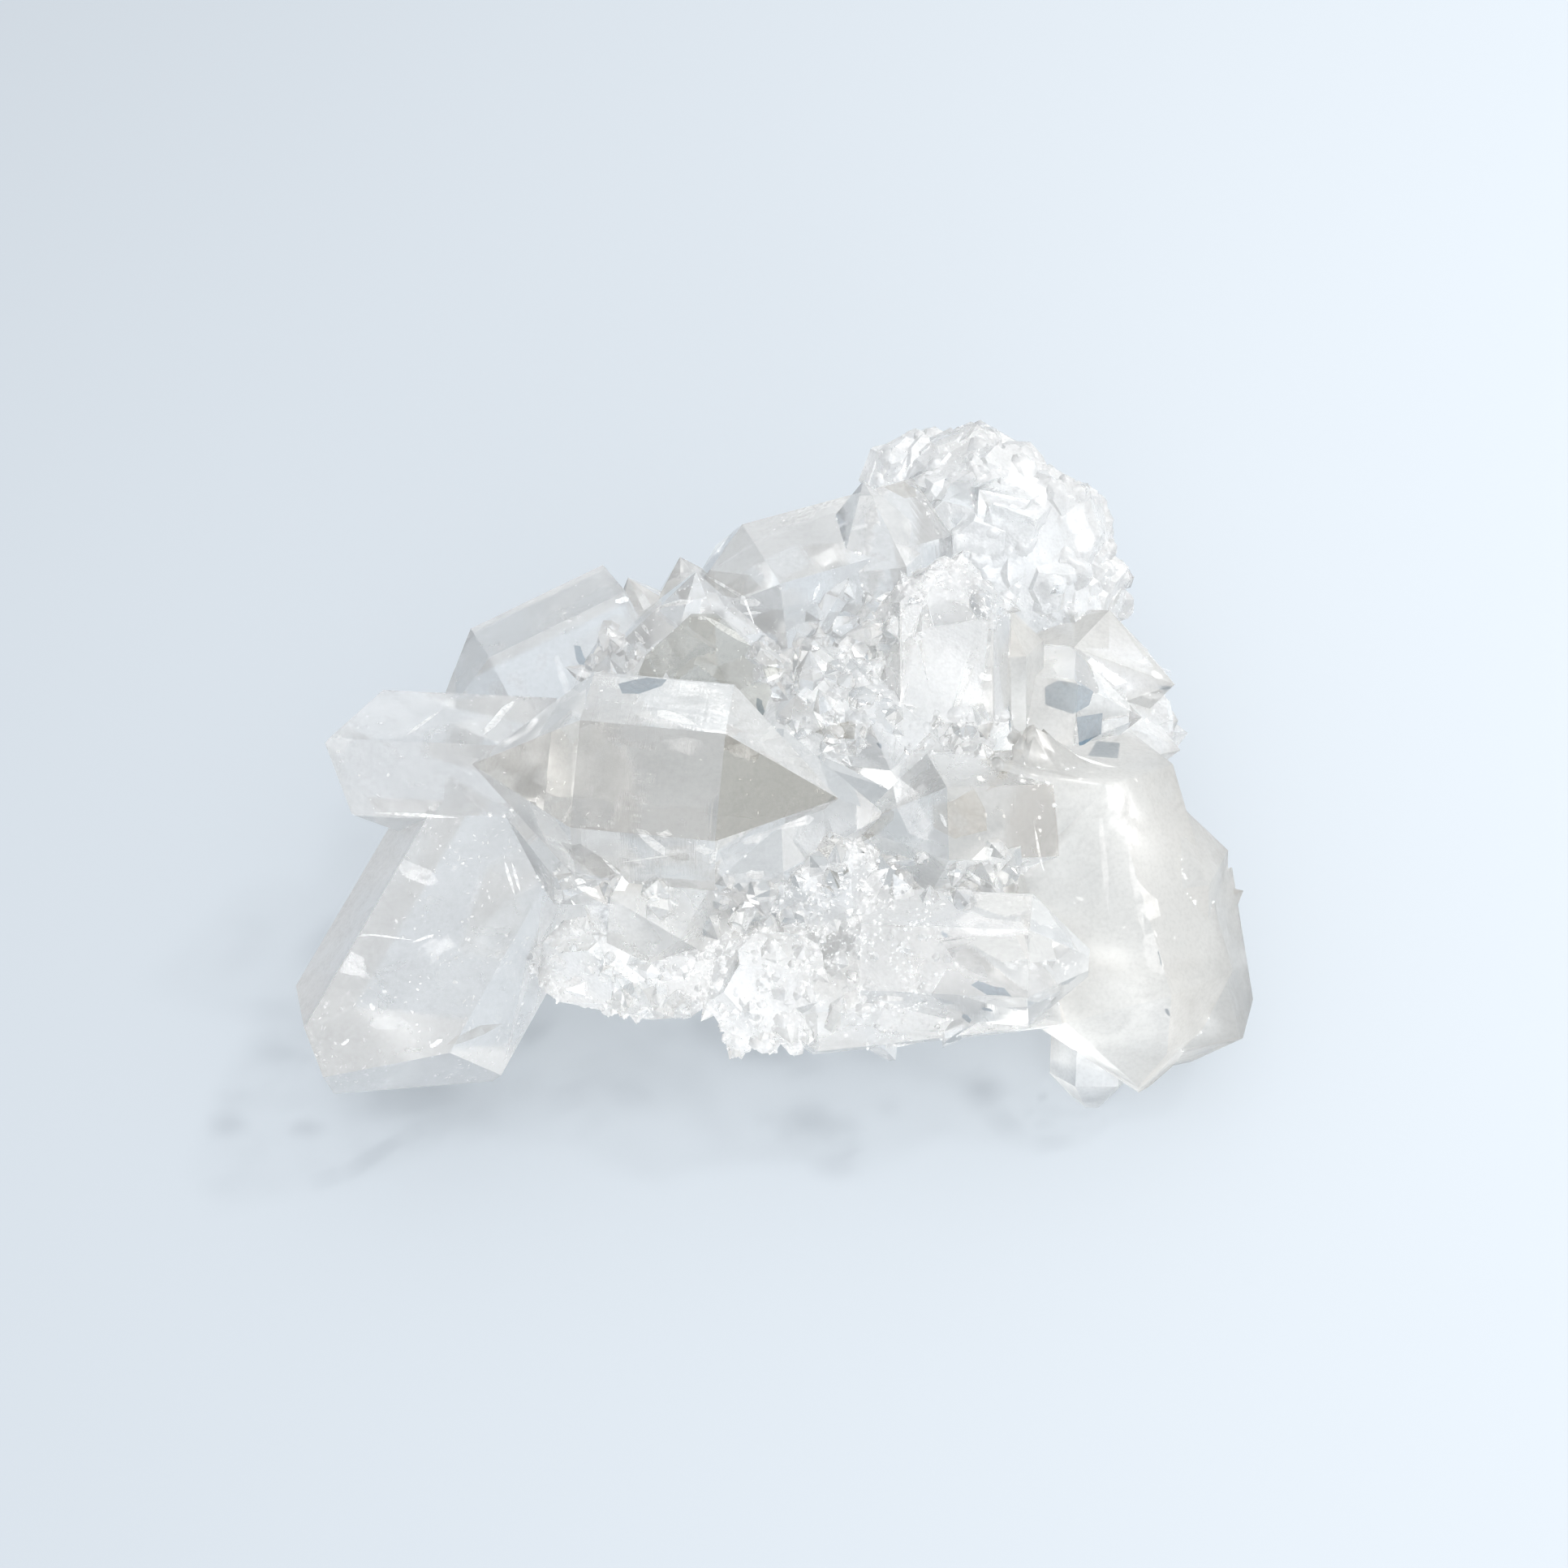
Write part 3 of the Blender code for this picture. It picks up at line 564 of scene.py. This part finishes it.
def sugar_quartz(effects):
    """The white sugar of tiny crystals: frosted, and see-through only skin deep."""
    material, nodes, links = new_material("sugar_quartz")
    shader = nodes["Principled BSDF"]
    shader.inputs["Transmission Weight"].default_value = 0.5
    shader.inputs["IOR"].default_value = 1.544
    place = nodes.new("ShaderNodeTexCoord").outputs["Object"]
    clouds = effect(nodes, effects["cloudiness"], Scale=160, Depth=1)
    links.new(place, clouds.inputs["Place"])
    shades = nodes.new("ShaderNodeValToRGB")
    shades.color_ramp.elements[0].color = (0.93, 0.95, 0.965, 1)
    shades.color_ramp.elements[1].color = (0.995, 0.995, 0.995, 1)
    links.new(clouds.outputs["Cloud"], shades.inputs[0])
    links.new(shades.outputs[0], shader.inputs["Base Color"])
    frost = calculated(nodes, links, "MULTIPLY_ADD", clouds.outputs["Cloud"], 0.25, 0.1)
    links.new(frost, shader.inputs["Roughness"])
    see_through(material, nodes, links, 0.985)
    return material


def veil(effects):
    """Milky wisps of healed cracks: white, and see-through in patches."""
    material, nodes, links = new_material("inner_veil")
    shader = nodes["Principled BSDF"]
    shader.inputs["Base Color"].default_value = (0.95, 0.96, 0.97, 1)
    shader.inputs["Roughness"].default_value = 0.35
    place = nodes.new("ShaderNodeTexCoord").outputs["Object"]
    wisps = effect(nodes, effects["cloudiness"], Scale=700, Depth=1)
    links.new(place, wisps.inputs["Place"])
    cover = calculated(nodes, links, "MULTIPLY", wisps.outputs["Cloud"], 0.34)
    links.new(cover, shader.inputs["Alpha"])
    return material


def speck(effects):
    """Chips and bubbles caught just under the skin, with a faint painted glow as glints."""
    material, nodes, links = new_material("glinting_speck")
    shader = nodes["Principled BSDF"]
    shader.inputs["Roughness"].default_value = 0.2
    # Painted light: a faint glow, so that the chips show as glints.
    shader.inputs["Emission Color"].default_value = (1, 1, 1, 1)
    shader.inputs["Emission Strength"].default_value = 0.18
    place = nodes.new("ShaderNodeTexCoord").outputs["Object"]
    clouds = effect(nodes, effects["cloudiness"], Scale=300, Depth=0.25)
    links.new(place, clouds.inputs["Place"])
    shades = nodes.new("ShaderNodeCombineColor")
    for channel in shades.inputs:
        links.new(clouds.outputs["Shade"], channel)
    links.new(shades.outputs[0], shader.inputs["Base Color"])
    cover = calculated(nodes, links, "MULTIPLY_ADD", clouds.outputs["Cloud"], 0.45, 0.5)
    links.new(cover, shader.inputs["Alpha"])
    return material


def patch_material(kind, colour, cover, thinning, scale, glow, effects):
    """A flat patch with a painted colour and glow, thinner in clouds."""
    material, nodes, links = new_material(f"{kind}_patch")
    shader = nodes["Principled BSDF"]
    shader.inputs["Roughness"].default_value = 0.25
    # The glow is painted light: glints for the bright patches, lit zones for the soft ones.
    shader.inputs["Emission Color"].default_value = (1, 1, 1, 1)
    shader.inputs["Emission Strength"].default_value = glow
    place = nodes.new("ShaderNodeTexCoord").outputs["Object"]
    clouds = effect(nodes, effects["cloudiness"], Scale=scale, Depth=0.12)
    links.new(place, clouds.inputs["Place"])
    tint = nodes.new("ShaderNodeVectorMath")
    tint.operation = "SCALE"
    tint.inputs[0].default_value = colour
    links.new(clouds.outputs["Shade"], tint.inputs["Scale"])
    links.new(tint.outputs["Vector"], shader.inputs["Base Color"])
    lost = -thinning * cover
    thin = calculated(nodes, links, "MULTIPLY_ADD", clouds.outputs["Cloud"], lost, cover)
    links.new(thin, shader.inputs["Alpha"])
    return material


# ---------------------------------------------------------------- the cluster's skin

def solid_copy(node):
    """A CAD node's solid, merged into one closed skin."""
    body = bmesh.new()
    body.from_mesh(frame["nodes"][node].data)
    bmesh.ops.remove_doubles(body, verts=body.verts[:], dist=1e-6)
    return body


def small_point(name, chance):
    """A six-sided point, one unit in girth, standing on the origin."""
    body = bmesh.new()
    bmesh.ops.create_cone(body, cap_ends=True, segments=6, radius1=1, radius2=1, depth=2)
    top = max(body.faces, key=lambda face: face.calc_center_median().z)
    bmesh.ops.poke(body, faces=[top], offset=chance.uniform(0.9, 1.4))
    for vert in body.verts:
        vert.co += Vector([chance.uniform(-0.12, 0.12) for _ in range(3)])
    return body_mesh(body, name)


def small_knob(name, chance):
    """A rounded knob, one unit in radius, centred on the origin."""
    body = bmesh.new()
    bmesh.ops.create_uvsphere(body, u_segments=7, v_segments=5, radius=1)
    for vert in body.verts:
        vert.co *= chance.uniform(0.86, 1.1)
    for face in body.faces:
        face.smooth = True
    return body_mesh(body, name)


def body_mesh(body, name):
    mesh = bpy.data.meshes.new(name)
    body.to_mesh(mesh)
    body.free()
    return mesh


def inside_reach(place, centre, reach):
    away = [(place[axis] - centre[axis]) / reach[axis] for axis in range(3)]
    return sum(share * share for share in away) < 1


def inside_box(place, margin):
    low, high = cad_box
    return all(low[axis] + margin < place[axis] < high[axis] - margin for axis in range(3))


def covered(place, least):
    """Whether a crust covers this place: it comes in patches."""
    return noise.noise(place / PATCH_SIZE) > least


def spots_over(faces, count, chance):
    """Random places spread evenly over some triangles, each with its face's normal."""
    weights = [face.calc_area() for face in faces]
    for face in chance.choices(faces, weights, k=count):
        a, b, c = (vert.co for vert in face.verts[:3])
        s, t = chance.random(), chance.random()
        if s + t > 1:
            s, t = 1 - s, 1 - t
        yield a + (b - a) * s + (c - a) * t, face.normal


def faces_in_crust(body, crust):
    centre, reach = placed(crust["centre"]), Vector(crust["reach"]) * MM
    return [face for face in body.faces if inside_reach(face.calc_center_median(), centre, reach)]


def crust_spots(body, kind, chance):
    """Places, normals and sizes for one kind of growth on every crust."""
    for crust in CRUSTS.values():
        centre, reach = placed(crust["centre"]), Vector(crust["reach"]) * MM
        count, least, most = crust[kind]
        if not count:
            continue
        faces = faces_in_crust(body, crust)
        for foot, normal in spots_over(faces, count, chance):
            size = least + (most - least) * chance.random() ** 1.6
            room = size * MM * (1.8 if kind == "shards" else 1)
            if inside_reach(foot, centre, reach) and inside_box(foot, room):
                yield foot, normal, size * MM


def gap_spots(body, chance):
    """Places, normals and sizes for the clear crystals that fill the gaps."""
    for centre, reach, count, (least, most) in GAPS.values():
        centre, reach = placed(centre), Vector(reach) * MM
        faces = [f for f in body.faces if inside_reach(f.calc_center_median(), centre, reach * 1.6)]
        for foot, normal in spots_over(faces, count * 3, chance):
            size = (least + (most - least) * chance.random() ** 1.6) * MM
            if inside_reach(foot, centre, reach) and inside_box(foot, size * 1.8):
                yield foot, normal, size


def leaning(normal, spread, chance):
    return (normal + Vector([chance.gauss(0, spread) for _ in range(3)])).normalized()


def standing(foot, lean, turn, size, squash=1):
    """The matrix that stands a small shape on the skin."""
    upright = lean.to_track_quat("Z", "Y").to_matrix().to_4x4()
    shaped = Matrix.Diagonal((size, size, size * squash, 1))
    return Matrix.Translation(foot) @ upright @ Matrix.Rotation(turn, 4, "Z") @ shaped


def crust_growths(body, collection):
    """Knobs and small six-sided points over the part of the skin that each crust covers."""
    chance = random.Random("crust")
    points = [small_point(f"small_point_{index}", chance) for index in range(6)]
    knobs = [small_knob(f"small_knob_{index}", chance) for index in range(6)]
    growths = []
    for foot, normal, size in crust_spots(body, "points", chance):
        lean = leaning(normal, 0.35, chance)
        sunk = foot - lean * size * chance.uniform(0.3, 1.3)
        growths.append((points, standing(sunk, lean, chance.uniform(0, math.pi / 3), size)))
    for foot, normal, size in list(crust_spots(body, "shards", chance)) + list(gap_spots(body, chance)):
        lean = leaning(normal, 0.5, chance)
        sunk = foot - lean * size * chance.uniform(0.5, 1.4)
        turn, stretch = chance.uniform(0, math.pi / 3), chance.uniform(1, 1.5)
        growths.append((points, standing(sunk, lean, turn, size, stretch)))
    for foot, normal, size in crust_spots(body, "knobs", chance):
        sunk = foot - normal * size * chance.uniform(0.5, 0.84)
        turn = chance.uniform(0, 2 * math.pi)
        growths.append((knobs, standing(sunk, leaning(normal, 0.2, chance), turn, size, 0.8)))
    for index, (shapes, matrix) in enumerate(growths):
        growth = bpy.data.objects.new("growth", shapes[index % len(shapes)])
        growth.matrix_world = matrix
        collection.objects.link(growth)


def fused(body, helpers):
    """The body with every helper in the collection grown into it, as a bmesh."""
    grown = linked(bpy.data.objects.new("growing", body_mesh(body, "growing")))
    union = grown.modifiers.new("grown", "BOOLEAN")
    union.operation = "UNION"
    union.operand_type = "COLLECTION"
    union.collection = helpers
    union.solver = "MANIFOLD"
    bpy.context.view_layer.update()
    graph = bpy.context.evaluated_depsgraph_get()
    result = bmesh.new()
    result.from_object(grown, graph)
    for helper in list(helpers.objects) + [grown]:
        bpy.data.objects.remove(helper)
    bpy.data.collections.remove(helpers)
    return result


def owner_of(place, normal, crystals):
    """The crystal whose side or tip face this is, or else the one it lies nearest to."""
    nearest, least = None, 1.6
    for name, (tip, root, along, girth) in crystals.items():
        lean = normal.dot(along)
        out = (place - tip).dot(normal)
        if abs(lean) < 0.03 and abs(out - girth) < SNUG:
            return name
        if abs(lean - TIP_COSINE) < 0.02 and abs(out) < SNUG:
            return name
        if abs(lean + TIP_COSINE) < 0.02 and abs((place - root).dot(normal)) < SNUG:
            return name
        run = max(0, min((place - root).dot(along), (tip - root).length))
        away = (place - root - along * run).length / girth
        if away < least:
            nearest, least = name, away
    return nearest


def facet_look(owner, normal, finish):
    """A face's frost, colour and lines: its own painted light and shade where it has some, or its
    crystal's with a slight random shade of its own.
    """
    frost, colour, lines = FINISHES[finish]
    for crystal, facing, painted_colour, own_frost in FACES_WITH_PAINTED_LIGHT.values():
        if crystal == owner and normal.dot(Vector(facing).normalized()) > SAME_WAY:
            return own_frost, painted_colour, lines
    chance = random.Random(f"{owner} {normal.x:.1f} {normal.y:.1f} {normal.z:.1f}")
    shade = chance.uniform(0.86, 1.0)
    warm = chance.uniform(-0.012, 0.012)
    tinted = (colour[0] * shade + warm, colour[1] * shade, colour[2] * shade - warm)
    return frost, tinted, lines


def laid_out():
    """Every large crystal's tip, root, long axis and girth, in metres."""
    crystals = {}
    for name, (tip, root, girth, _) in CRYSTALS.items():
        tip, root = placed(tip), placed(root)
        crystals[name] = (tip, root, (tip - root).normalized(), girth * MM)
    return crystals


def dressed(body):
    """Writes each face's tone (colour and frost) and growth (distance along, sugar, lines)."""
    tones = body.loops.layers.float_color.new("tone")
    growths = body.loops.layers.float_color.new("growth")
    crystals = laid_out()
    crusts = [(placed(crust["centre"]), Vector(crust["reach"]) * MM) for crust in CRUSTS.values()]
    white = [(placed(c["centre"]), Vector(c["reach"]) * MM) for c in CRUSTS.values() if c["white"]]
    top = placed(TOP_MASS[0]), Vector(TOP_MASS[1]) * MM
    smoothed, rounded = [], []
    for face in body.faces:
        place = face.calc_center_median()
        normal = face.normal
        owner = None
        in_top = inside_reach(place, *top)
        in_white = any(inside_reach(place, *zone) for zone in white)
        if face.calc_area() > SMALL_FACE or not any(inside_reach(place, *c) for c in crusts):
            owner = owner_of(place, normal, crystals)
        if owner:
            frost, colour, lines = facet_look(owner, normal, CRYSTALS[owner][3])
            along = crystals[owner][2]
            growth = (0, 0, lines if abs(normal.dot(along)) < 0.2 else 0.04)
            if owner in ROUNDED:
                rounded.append(face)
        elif face.calc_area() > CLEAR_FACE and not in_white:
            frost, colour, _ = facet_look("shard", normal, "glassy")
            along = normal
            growth = (0, 0.1, 0.06)
        else:
            frost, colour, _ = FINISHES["sugar"]
            along = normal
            growth = (0, 1, 0)
            if in_top and not face.smooth:
                smoothed.append(face)
        for corner in face.loops:
            corner[tones] = (*colour, frost)
            corner[growths] = (corner.vert.co.dot(along) + 0.2, growth[1], growth[2], 1)
        face.material_index = 0
    for face in smoothed:
        for edge in face.edges:
            edge.smooth = edge.calc_face_angle(0) < CRISP_ANGLE
    for face in smoothed + rounded:
        face.smooth = True
    return tones


def bright_ridges(body, tones):
    """Thin faces along the longer ridges, where two flat faces meet, painted whiter as a highlight."""
    bmesh.ops.dissolve_limit(
        body, angle_limit=FLAT_ANGLE, verts=body.verts[:], edges=body.edges[:], delimit=set()
    )
    ridges = [
        edge for edge in body.edges
        if edge.calc_length() > RIDGE_LENGTH and edge.is_convex
        and edge.calc_face_angle(0) > RIDGE_ANGLE
        and not all(face.smooth for face in edge.link_faces)
    ]
    made = bmesh.ops.bevel(
        body, geom=ridges, offset=RIDGE_WIDTH, offset_type="OFFSET", segments=1, profile=0.5,
        affect="EDGES", clamp_overlap=True, material=-1,
    )
    for face in made["faces"]:
        for corner in face.loops:
            corner[tones] = RIDGE_HIGHLIGHT_TONE
    bmesh.ops.triangulate(body, faces=body.faces[:])


def finished(body, name, materials):
    mesh = body_mesh(body, name)
    for material in materials:
        mesh.materials.append(material)
    return linked(bpy.data.objects.new(name, mesh))


def crystal_cluster(body, effects):
    """The whole cluster in one skin, and the small spots that its finer growths stand on."""
    helpers = bpy.data.collections.new("growths")
    bpy.context.scene.collection.children.link(helpers)
    crust_growths(body, helpers)
    body = fused(body, helpers)
    bmesh.ops.triangulate(body, faces=body.faces[:])
    grains = list(grain_spots(body))
    tones = dressed(body)
    bright_ridges(body, tones)
    print("FACES", len(body.faces), "OPEN", sum(len(e.link_faces) != 2 for e in body.edges))
    cluster = finished(body, "crystal_cluster", [quartz(effects)])
    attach(cluster, "root")
    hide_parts("quartz_cluster")
    return grains


# ---------------------------------------------------------------- fine sugar

def in_batches(items, make):
    """One bmesh of many small shapes. Operators slow down in a large bmesh, so it grows by batches."""
    whole = bmesh.new()
    for start in range(0, len(items), BATCH):
        batch = bmesh.new()
        for item in items[start:start + BATCH]:
            make(batch, *item)
        mesh = body_mesh(batch, "batch")
        whole.from_mesh(mesh)
        bpy.data.meshes.remove(mesh)
    return whole


def grain_spots(body):
    """Where the crusts' finest grains stand: matrices of a unit grain."""
    chance = random.Random("grains")
    for foot, normal, size in crust_spots(body, "grains", chance):
        if covered(foot, -0.12):
            lean = leaning(normal, 0.4, chance)
            yield (standing(foot - lean * size * 0.3, lean, chance.uniform(0, 2), size),)


def seam_spots(body):
    """Small grains gathered in the creases between the large crystals."""
    chance = random.Random("seams")
    for edge in body.edges:
        if edge.is_convex or edge.calc_length() < RIDGE_LENGTH or edge.calc_face_angle(0) < RIDGE_ANGLE:
            continue
        start, end = (vert.co for vert in edge.verts)
        normal = (edge.link_faces[0].normal + edge.link_faces[1].normal).normalized()
        for _ in range(int(edge.calc_length() / SEAM_STEP)):
            foot = start.lerp(end, chance.random())
            size = chance.uniform(*SEAM_SIZES)
            if covered(foot, 0.0) and inside_box(foot, size * 2):
                yield (standing(foot, leaning(normal, 0.4, chance), chance.uniform(0, 2), size),)


def grain(body, matrix):
    """One five-sided grain."""
    bmesh.ops.create_cone(
        body, cap_ends=True, segments=5, radius1=1, radius2=0.25, depth=1.5, matrix=matrix
    )


def sugar_crust(spots, effects):
    body = in_batches(spots, grain)
    crust = finished(body, "sugar_crust", [sugar_quartz(effects)])
    print("SUGAR", len(spots), len(crust.data.polygons))
    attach(crust, "root")


# ---------------------------------------------------------------- inside the crystals

def flake(body, place, facing, size, slender, chance):
    """One thin flake with a ragged outline, added to a bmesh."""
    turn = facing.to_track_quat("Z", "Y").to_matrix().to_4x4()
    turn @= Matrix.Rotation(chance.uniform(0, math.pi), 4, "Z")
    made = bmesh.ops.create_circle(
        body, cap_ends=True, segments=chance.randint(5, 9), radius=size,
        matrix=Matrix.Translation(place) @ turn @ Matrix.Diagonal((1, slender, 1, 1)),
    )
    for vert in made["verts"]:
        vert.co += (vert.co - place) * chance.uniform(-0.35, 0.25)
    face = made["verts"][0].link_faces[0]
    raised = bmesh.ops.extrude_face_region(body, geom=[face])["geom"]
    tops = [item for item in raised if isinstance(item, bmesh.types.BMVert)]
    bmesh.ops.translate(body, verts=tops, vec=facing * FLAKE_THICKNESS)


def inner_veils(effects):
    """Flakes of milky cracks inside the large crystals."""
    chance = random.Random("veils")
    flakes = []
    for name, (tip, root, girth, _) in CRYSTALS.items():
        tip, root = placed(tip), placed(root)
        along = (tip - root).normalized()
        for _ in range(0 if name in UNVEILED else VEILS_EACH):
            share = chance.uniform(0.05, 0.8)
            aside = Vector([chance.gauss(0, 1) for _ in range(3)]).cross(along).normalized()
            place = root.lerp(tip, share) + aside * girth * MM * chance.uniform(0, 0.45)
            facing = (aside + along * chance.gauss(0, 0.7)).normalized()
            size = girth * MM * chance.uniform(0.1, 0.36)
            flakes.append((place, facing, size, chance.uniform(0.1, 0.5), chance))
    body = in_batches(flakes, flake)
    bmesh.ops.recalc_face_normals(body, faces=body.faces[:])
    veils = finished(body, "inner_veils", [veil(effects)])
    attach(veils, "root")


def big_faces_by_owner(body):
    """The large faces of each crystal."""
    crystals = laid_out()
    owned = {}
    for face in body.faces:
        if face.calc_area() > SMALL_FACE and face.normal.z > -0.3:
            owner = owner_of(face.calc_center_median(), face.normal, crystals)
            owned.setdefault(owner, []).append(face)
    return owned


def inner_specks(body, effects):
    """Small chips just under the large faces of the crystals that hold some, glowing faintly as painted
    glints.
    """
    chance = random.Random("specks")
    owned = big_faces_by_owner(body)
    sources = [(owned.get(name, []), count, SPECK_DEPTHS) for name, count in SPECKLED.items()]
    for name, count in SPECKLED_CRUSTS.items():
        sources.append((faces_in_crust(body, CRUSTS[name]), count, CRUST_SPECK_DEPTHS))
    specks = []
    for faces, count, depths in sources:
        for foot, normal in spots_over(faces, count * 2, chance):
            if not covered(foot * 0.6, -0.02):
                continue
            size = chance.uniform(0.06, 0.34) ** 1.2 * MM
            place = foot - normal * chance.uniform(*depths) * MM
            slender = chance.uniform(0.15, 0.75)
            specks.append((place, leaning(normal, 0.8, chance), size, slender, chance))
    chips = in_batches(specks, flake)
    bmesh.ops.recalc_face_normals(chips, faces=chips.faces[:])
    piece = finished(chips, "inner_specks", [speck(effects)])
    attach(piece, "root")


def patch(body, skin, place, run, length, width, outline, chance):
    """One thin ragged patch whose corners all lie just under the skin."""
    foot, normal, _, _ = skin.find_nearest(placed(place))
    ahead = (run - normal * run.dot(normal)).normalized()
    aside = normal.cross(ahead)
    corners = []
    for share, side in outline:
        share, side = (value + chance.uniform(-RAGGED, RAGGED) for value in (share, side))
        corner = foot + (ahead * share * length + aside * side * width) * MM / 2
        near, facing, _, _ = skin.find_nearest(corner)
        corners.append(body.verts.new(near - facing * PATCH_DEPTH))
    face = body.faces.new(corners)
    raised = bmesh.ops.extrude_face_region(body, geom=[face])["geom"]
    tops = [item for item in raised if isinstance(item, bmesh.types.BMVert)]
    bmesh.ops.translate(body, verts=tops, vec=-normal * FLAKE_THICKNESS)


def inner_patches(body, effects):
    """The few larger flat patches of painted reflection, glow and shade, one piece for each kind."""
    skin = BVHTree.FromBMesh(body)
    chance = random.Random("patches")
    for kind, look in PATCH_LOOKS.items():
        shapes = bmesh.new()
        for own_kind, outline, place, run, length, width in PATCHES.values():
            if own_kind == kind:
                patch(shapes, skin, place, Vector(run), length, width, OUTLINES[outline], chance)
        bmesh.ops.recalc_face_normals(shapes, faces=shapes.faces[:])
        material = patch_material(kind, *look, effects)
        piece = finished(shapes, f"{kind}_patches", [material])
        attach(piece, "root")


# ---------------------------------------------------------------- stage

def pale_floor():
    body = bmesh.new()
    bmesh.ops.create_grid(body, x_segments=1, y_segments=1, size=2)
    material, nodes, links = new_material("pale_floor")
    shader = nodes["Principled BSDF"]
    shader.inputs["Base Color"].default_value = (0.46, 0.50, 0.54, 1)
    shader.inputs["Roughness"].default_value = 0.7
    floor = finished(body, "floor", [material])


def area_light(name, at, aim, size, power, colour):
    data = bpy.data.lights.new(name, "AREA")
    data.shape = "RECTANGLE"
    data.size, data.size_y = size
    data.energy = power
    data.color = colour
    light = linked(bpy.data.objects.new(name, data))
    light.location = at
    light.rotation_euler = (Vector(aim) - Vector(at)).to_track_quat("-Z", "Y").to_euler()


def studio():
    pale_floor()
    area_light("key", (0.42, 0.16, 0.66), (0, 0, 0.02), (0.07, 0.07), 6, (1, 0.99, 0.97))
    area_light("fill", (0.1, -0.8, 0.3), (0, 0, 0.02), (0.6, 0.25), 5, (0.98, 0.99, 1))
    world = bpy.data.worlds.new("studio")
    bpy.context.scene.world = world
    world.use_nodes = True
    nodes, links = world.node_tree.nodes, world.node_tree.links
    place = nodes.new("ShaderNodeTexCoord")
    split = nodes.new("ShaderNodeSeparateXYZ")
    links.new(place.outputs["Generated"], split.inputs[0])
    ramp = nodes.new("ShaderNodeValToRGB")
    ramp.color_ramp.elements[0].position = 0.0
    ramp.color_ramp.elements[0].color = (0.22, 0.25, 0.29, 1)
    ramp.color_ramp.elements[1].position = 0.7
    ramp.color_ramp.elements[1].color = (0.95, 0.97, 1.0, 1)
    links.new(split.outputs["Z"], ramp.inputs[0])
    links.new(ramp.outputs[0], nodes["Background"].inputs["Color"])
    nodes["Background"].inputs["Strength"].default_value = 0.78


def camera():
    data = bpy.data.cameras.new("camera")
    data.lens, data.sensor_width = LENS, SENSOR
    data.clip_start = 0.01
    eye = linked(bpy.data.objects.new("camera", data))
    back = Vector((0, -math.cos(CAMERA_RISE), math.sin(CAMERA_RISE)))
    eye.location = placed(CAMERA_TARGET + back * CAMERA_DISTANCE)
    eye.rotation_euler = (math.pi / 2 - CAMERA_RISE, 0, 0)
    bpy.context.scene.camera = eye


def render_look():
    scene = bpy.context.scene
    scene.view_settings.view_transform = "Standard"
    scene.cycles.max_bounces = 24
    scene.cycles.transmission_bounces = 24
    scene.cycles.transparent_max_bounces = 24
    scene.cycles.caustics_refractive = False
    scene.cycles.caustics_reflective = False


effects = {group.name: group for group in (cloudiness(), growth_lines(), etched_skin())}
bare = solid_copy("quartz_cluster")
seams = list(seam_spots(bare))
inner_specks(bare, effects)
inner_patches(bare, effects)
inner_veils(effects)
grains = crystal_cluster(bare, effects)
sugar_crust(grains + seams, effects)
studio()
camera()
render_look()
